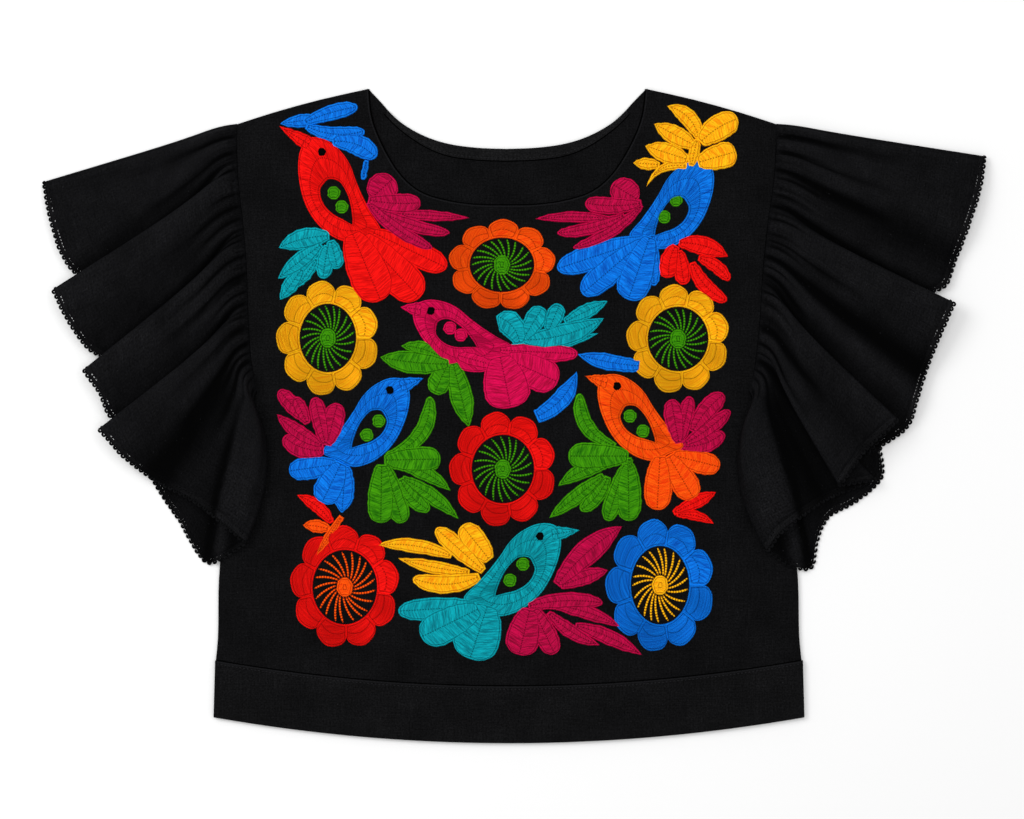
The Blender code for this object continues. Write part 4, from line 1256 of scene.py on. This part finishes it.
for name, cx, cy, rx, ry, ex, ey, petal_skein, chain_skein, turn in FLOWERS:
    centre, rim, eye = np.array([cx, cy]), np.array([rx, ry]), np.array([ex, ey])
    bm = bmesh.new()
    for k in range(PETALS):
        lobed_petal(bm, centre, rim, eye, 2 * np.pi * (k + turn) / PETALS)
    sewn("flower_" + name, bm, SATIN[petal_skein])
    bm = bmesh.new()
    for k in range(SPOKES):
        angle = 2 * np.pi * k / SPOKES + random.uniform(-SPOKE_STRAY, SPOKE_STRAY)
        start = centre + SPOKE_FROM * eye * (np.cos(angle), np.sin(angle))
        end = centre + SPOKE_TO * eye * (np.cos(angle + SWIRL), np.sin(angle + SWIRL))
        row = (*start, *end, SPOKE_WIDTH, SPOKE_BEND, 0.6, "stem")
        pad(bm, row, SPOKE_HEIGHT, cells=SPOKE_CELLS, wobble=0.0)
    chains = sewn("flower_chains_" + name, bm, CHAIN[chain_skein])
    bm = bmesh.new()
    button(bm, centre, CENTRE_SIZE, CENTRE_HEIGHT, 0.85, (12, 20))
    button(bm, centre, CENTRE_SIZE / 2, HEART_HEIGHT, 0.8, (12, 24))
    sewn("flower_heart_" + name, bm, PLAIN[chain_skein])
    print("flower", name, petal_skein, "with", len(chains.data.polygons), "faces in its chains")

# %% [markdown]
# Six birds share one body. Its table goes once round the body from the tail joint, over the
# belly, the head and the back, and says where the outer edge and the open eye of the wing are, in
# shares of the bird's length. Each bird then has its own place, turn, beak and tail feathers.

# %% Birds
BIRD_BODY = (
    # outer edge along, across, edge of the hollow along, across
    (1.02, 0.04, 0.84, -0.03), (0.98, -0.168, 0.74, -0.10), (0.824, -0.307, 0.66, -0.16),
    (0.626, -0.381, 0.55, -0.205), (0.43, -0.397, 0.45, -0.21), (0.232, -0.366, 0.36, -0.18),
    (0.03, -0.296, 0.32, -0.12), (-0.12, -0.20, 0.30, -0.07), (-0.20, -0.07, 0.305, -0.04),
    (-0.12, 0.08, 0.33, 0.0), (0.06, 0.184, 0.38, 0.04), (0.242, 0.219, 0.46, 0.055),
    (0.424, 0.206, 0.55, 0.055), (0.60, 0.202, 0.64, 0.04), (0.80, 0.21, 0.73, 0.015),
    (1.05, 0.22, 0.80, -0.01),
)
EYE_SIZE, EYE_PROUD, BERRY_SIZE, BODY_PROUD, BODY_ROWS = 4.0, 0.5, 5.8, 0.08, 0.04
BEAK_WIDTH, BEAK_FROM, BEAK_BELLY, BEAK_PROUD = 13.0, 0.25, 0.12, 0.1
FEATHER_FULLER, FEATHER_PROUD, FEATHER_CELLS = 1.06, 0.15, (10, 20)
BIRDS = (
    # name, skein, head x, y, tail joint x, y, side of the beak, beak's tip or None,
    # berries' skein, two berries, shift of the hollow, feathers as rows of pads
    ("top_left", "red", -163.4, 224.3, -130.3, 152.1, 1.0, (-200.0, 246.4),
     "green", (-153.2, 189.5), (-146.4, 177.6), 0.0, (
         (-120.9, 156.3, -57.2, 125.7, 21.2, 0, 0.65, "petal"),
         (-129.4, 152.9, -80.1, 100.2, 30.6, 0, 0.7, "petal"),
         (-137.9, 156.3, -113.3, 97.7, 34, 0, 0.65, "petal"),
     )),
    ("top_right", "blue", 152.8, 207.3, 112.8, 147.0, -1.0, None,
     "green", (137.5, 183.5), (127.3, 169.1), 0.03, (
         (111.1, 149.5, 36.3, 124.9, 21.2, 0, 0.6, "petal"),
         (117.1, 154.6, 118.8, 110.4, 11.9, 0, 0.6, "petal"),
         (111.1, 149.5, 57.6, 103.6, 22.1, 0, 0.65, "petal"),
         (115.4, 152.9, 96.7, 98.5, 28.1, 0, 0.7, "petal"),
     )),
    ("middle", "pink", -70.8, 89.2, -13.0, 47.5, 1.0, (-97.1, 92.6),
     "pink", (-54.6, 74.7), (-45.3, 68.8), -0.15, (
         (-14.7, 42.4, -49.5, 51.8, 12.8, 0, 0.6, "petal"),
         (-13.8, 56.0, 54.2, 52.6, 15.3, 0, 0.6, "petal"),
         (-7.9, 49.2, 37.2, 28.8, 28.9, 0, 0.65, "petal"),
         (-12.1, 51.8, -2.8, 6.7, 37.4, 0, 0.65, "petal"),
     )),
    ("left", "blue", -105.6, 22.0, -148.1, -37.5, -1.0, (-76.7, 32.2),
     "green", (-115.0, -4.3), (-125.2, -16.2), -0.04, (
         (-143.0, -41.7, -146.4, -82.5, 17.8, 0, 0.6, "leaf"),
         (-149.8, -40.9, -191.5, -46.8, 18.7, 0, 0.65, "petal"),
         (-146.4, -39.2, -163.4, -74.0, 23.8, 0, 0.65, "petal"),
     )),
    ("right", "orange", 87.3, 25.4, 129.8, -32.4, 1.0, (60.1, 33.9),
     "green", (98.4, -0.1), (109.4, -12.8), -0.04, (
         (134.1, -33.2, 174.9, -43.4, 18.7, 0, 0.65, "petal"),
         (130.7, -33.2, 152.8, -70.6, 22.1, 0, 0.65, "petal"),
         (123.9, -33.2, 121.3, -80.0, 22.9, 0, 0.65, "petal"),
     )),
    ("low", "teal", 21.9, -102.1, -27.4, -163.3, -1.0, (55.9, -97.0),
     "green", (7.4, -125.9), (-3.6, -139.5), -0.04, (
         (-30.8, -161.6, -98.8, -165.8, 18.7, 0, 0.6, "petal"),
         (-22.3, -159.9, -37.6, -206.6, 37.4, 0, 0.65, "petal"),
         (-29.1, -163.3, -79.3, -187.9, 28.9, 0, 0.65, "petal"),
     )),
)


def bird_body(bm, head, joint, side, shift):
    """Adds the ring of the body round the open hollow of the wing."""
    size = (joint - head).length
    along = (joint - head) / size
    across = Vector((-along.y, along.x)) * side
    rows = smooth_path(BIRD_BODY + BIRD_BODY[:1], BODY_ROWS)

    def at(a, c):
        return head + along * (a * size) + across * (c * size)

    edges = [(at(a, c), at(b + shift, d)) for a, c, b, d in rows]
    reached = np.cumsum([0.0] + [(p[0] - q[0]).length for p, q in zip(edges[1:], edges)])

    def place(u, v):
        k = round(v * (len(rows) - 1))
        (outer, hollow), out = edges[k], (1 - np.cos(np.pi * u)) / 2
        depth = (outer - hollow).length
        spot = hollow + (outer - hollow) * out
        rim = min(out, 1 - out) * depth
        z = front_top(spot.x, spot.y) + pad_rise(rim, PAD_HEIGHT + BODY_PROUD)
        return spot.x, spot.y, z, reached[k] * 0.8, (out - 0.5) * depth, rim

    mapped_grid(bm, 8, len(rows) - 1, place)


for name, skein, hx, hy, jx, jy, side, beak, berry_skein, first, second, shift, feathers in BIRDS:
    head, joint = Vector((hx, hy)), Vector((jx, jy))
    bm = bmesh.new()
    layered_pads(bm, feathers, FEATHER_FULLER, PAD_HEIGHT + FEATHER_PROUD, FEATHER_CELLS)
    sewn("tail_" + name, bm, SATIN[skein])
    bm = bmesh.new()
    bird_body(bm, head, joint, side, shift)
    if beak:
        tip = Vector(beak)
        start = head + (tip - head) * BEAK_FROM
        row = (*start, *tip, BEAK_WIDTH, 0, BEAK_BELLY, "blunt")
        pad(bm, row, PAD_HEIGHT + BEAK_PROUD)
        dot = bmesh.new()
        button(dot, head, EYE_SIZE, PAD_HEIGHT + EYE_PROUD)
        sewn("eye_" + name, dot, EYE)
    bird = sewn("bird_" + name, bm, PLUMAGE[skein])
    bm = bmesh.new()
    for berry in (first, second):
        button(bm, berry, BERRY_SIZE, PAD_HEIGHT)
    sewn("berries_" + name, bm, PLAIN[berry_skein])
    print("bird", name, skein, len(bird.data.polygons), "faces")

# %% [markdown]
# Black stitching shows in two places: a row below the hem band's seam and one along the neck
# facing. A stitch is a tiny pad, set along a line at an even pitch. Where two cloths meet, a
# narrow strip painted lighter stands for the fold catching the light, a painted highlight, and a
# near-black strip beside it is painted shade, where the crease lies in shade.

# %% Rows of black stitches, and the seams' painted highlights and shade
STITCH, STITCH_PITCH, STITCH_WIDTH, STITCH_HEIGHT, STITCH_CELLS = 2.2, 3.2, 1.15, 1.1, (2, 3)
FOLD_STEP, FOLD_HEIGHT, FOLD_CELLS, NO_RIM = 6.0, 0.2, 4, 9.0
BLACK_THREAD = thread("black_thread", (36, 36, 38), (16, 16, 17), marks=0.0)
# painted shade in the seams' creases, and a painted highlight on their folds
PAINTED_SEAM_SHADE = thread("painted_seam_shade", (2, 2, 2), (1, 1, 1), marks=0.0, gloss=0.0)
PAINTED_SEAM_HIGHLIGHT = thread("painted_light_strip", (24, 24, 26), (18, 18, 20), marks=0.0)


def flat_line(points):
    """A line of points without their heights, and its length."""
    line = np.array(points, float)[:, :2]
    return line, float(np.linalg.norm(np.diff(line, axis=0), axis=1).sum())


def left_sides(line):
    """The direction to the left of a line at each of its points."""
    run = np.gradient(line, axis=0)
    return np.stack([-run[:, 1], run[:, 0]], axis=1) / np.linalg.norm(run, axis=1)[:, None]


def moved_aside(points, distance):
    """A line of points moved to its left."""
    line, _ = flat_line(points)
    return line + left_sides(line) * distance


def stitch_row(name, points, ground):
    """Sews a row of stitches along a line of points."""
    line, length = flat_line(points)
    spots = even_points(line, 2 * int(length / STITCH_PITCH) + 1)
    bm = bmesh.new()
    for start, end in zip(spots[::2], spots[1::2]):
        run = (end - start) / np.linalg.norm(end - start)
        middle = (start + end) / 2
        tail, head = middle - run * STITCH / 2, middle + run * STITCH / 2
        row = (*tail, *head, STITCH_WIDTH, 0, 0.5, "stem")
        pad(bm, row, STITCH_HEIGHT, ground, STITCH_CELLS, wobble=0.0)
    stitches = sewn(name, bm, BLACK_THREAD)
    print(name, len(stitches.data.polygons), "faces over", round(length), "mm")


def painted_light_strip(name, points, width, ground, material):
    """Lays a narrow raised strip along a line of points, in the material given: the seams' painted
    highlights and painted shade are laid so.
    """
    line, length = flat_line(points)
    spots = even_points(line, int(length / FOLD_STEP))
    sides = left_sides(spots)

    def place(u, v):
        k = round(v * (len(spots) - 1))
        x, y = spots[k] + sides[k] * width * (u - 0.5)
        rise = FOLD_HEIGHT * (1 - (2 * u - 1) ** 2)
        return x, y, ground(x, y) + rise, v * length, width * (u - 0.5), NO_RIM

    bm = bmesh.new()
    mapped_grid(bm, FOLD_CELLS, len(spots) - 1, place)
    sewn(name, bm, material)
    print(name, round(length), "mm long")


def band_line(lower):
    """The hem band's upper edge without its ends, moved down by a distance."""
    half = HEM_HALF_WIDTH - SEAM_ENDS
    xs = np.linspace(-half, half, SEAM_POINTS)
    return in_frame([(x, BAND_DEPTH + hem_y(x) - lower) for x in xs])


def neck_line():
    """The front neckline from shoulder to shoulder."""
    half = smooth_path(FRONT_NECKLINE, 5.0)
    whole = [tuple(p) for p in half] + [(-x, y) for x, y in reversed(half[:-1])]
    return in_frame([(x + sway(y), y) for x, y in whole])


def table_height(height):
    """A ground that is flat at this height."""
    return lambda x, y: height


SEAM_ENDS, SEAM_POINTS, STITCHES_BELOW, STITCHES_INSIDE = 3.0, 60, 2.6, -1.9
on_back, on_band = table_height(CLOTH), table_height(2 * BAND_CLOTH + SEAM_GAP)
on_facing = table_height(CLOTH + SEAM_GAP + FACING_CLOTH)
band_edge, neck_edge = band_line(0.0), neck_line()
# the creases are strips of painted shade, the folds strips with a painted highlight
PAINTED_SEAM_STRIPS = (
    # name, line, how far it is moved to its left, width, ground, material, node
    ("band_painted_shade", band_edge, 0.35, 1.0, front_top, PAINTED_SEAM_SHADE, "front_panel"),
    ("band_fold_painted_highlight", band_edge, -1.0, 1.0, on_band, PAINTED_SEAM_HIGHLIGHT, "front_hem_band"),
    ("facing_painted_shade", FACING_SEAM, 0.4, 0.9, on_back, PAINTED_SEAM_SHADE, "back_panel"),
    ("neck_fold_painted_highlight", neck_edge, 1.0, 0.9, front_top, PAINTED_SEAM_HIGHLIGHT, "front_panel"),
    ("neck_painted_shade", neck_edge, -0.5, 1.0, on_back, PAINTED_SEAM_SHADE, "back_panel"),
)
stitch_row("band_stitches", band_line(STITCHES_BELOW), on_band)
for name, line, aside, width, ground, material, node in PAINTED_SEAM_STRIPS:
    painted_light_strip(name, moved_aside(line, aside), width, ground, material)
stitch_row(
    "facing_stitches", moved_aside(FACING_SEAM, STITCHES_INSIDE), on_facing
)
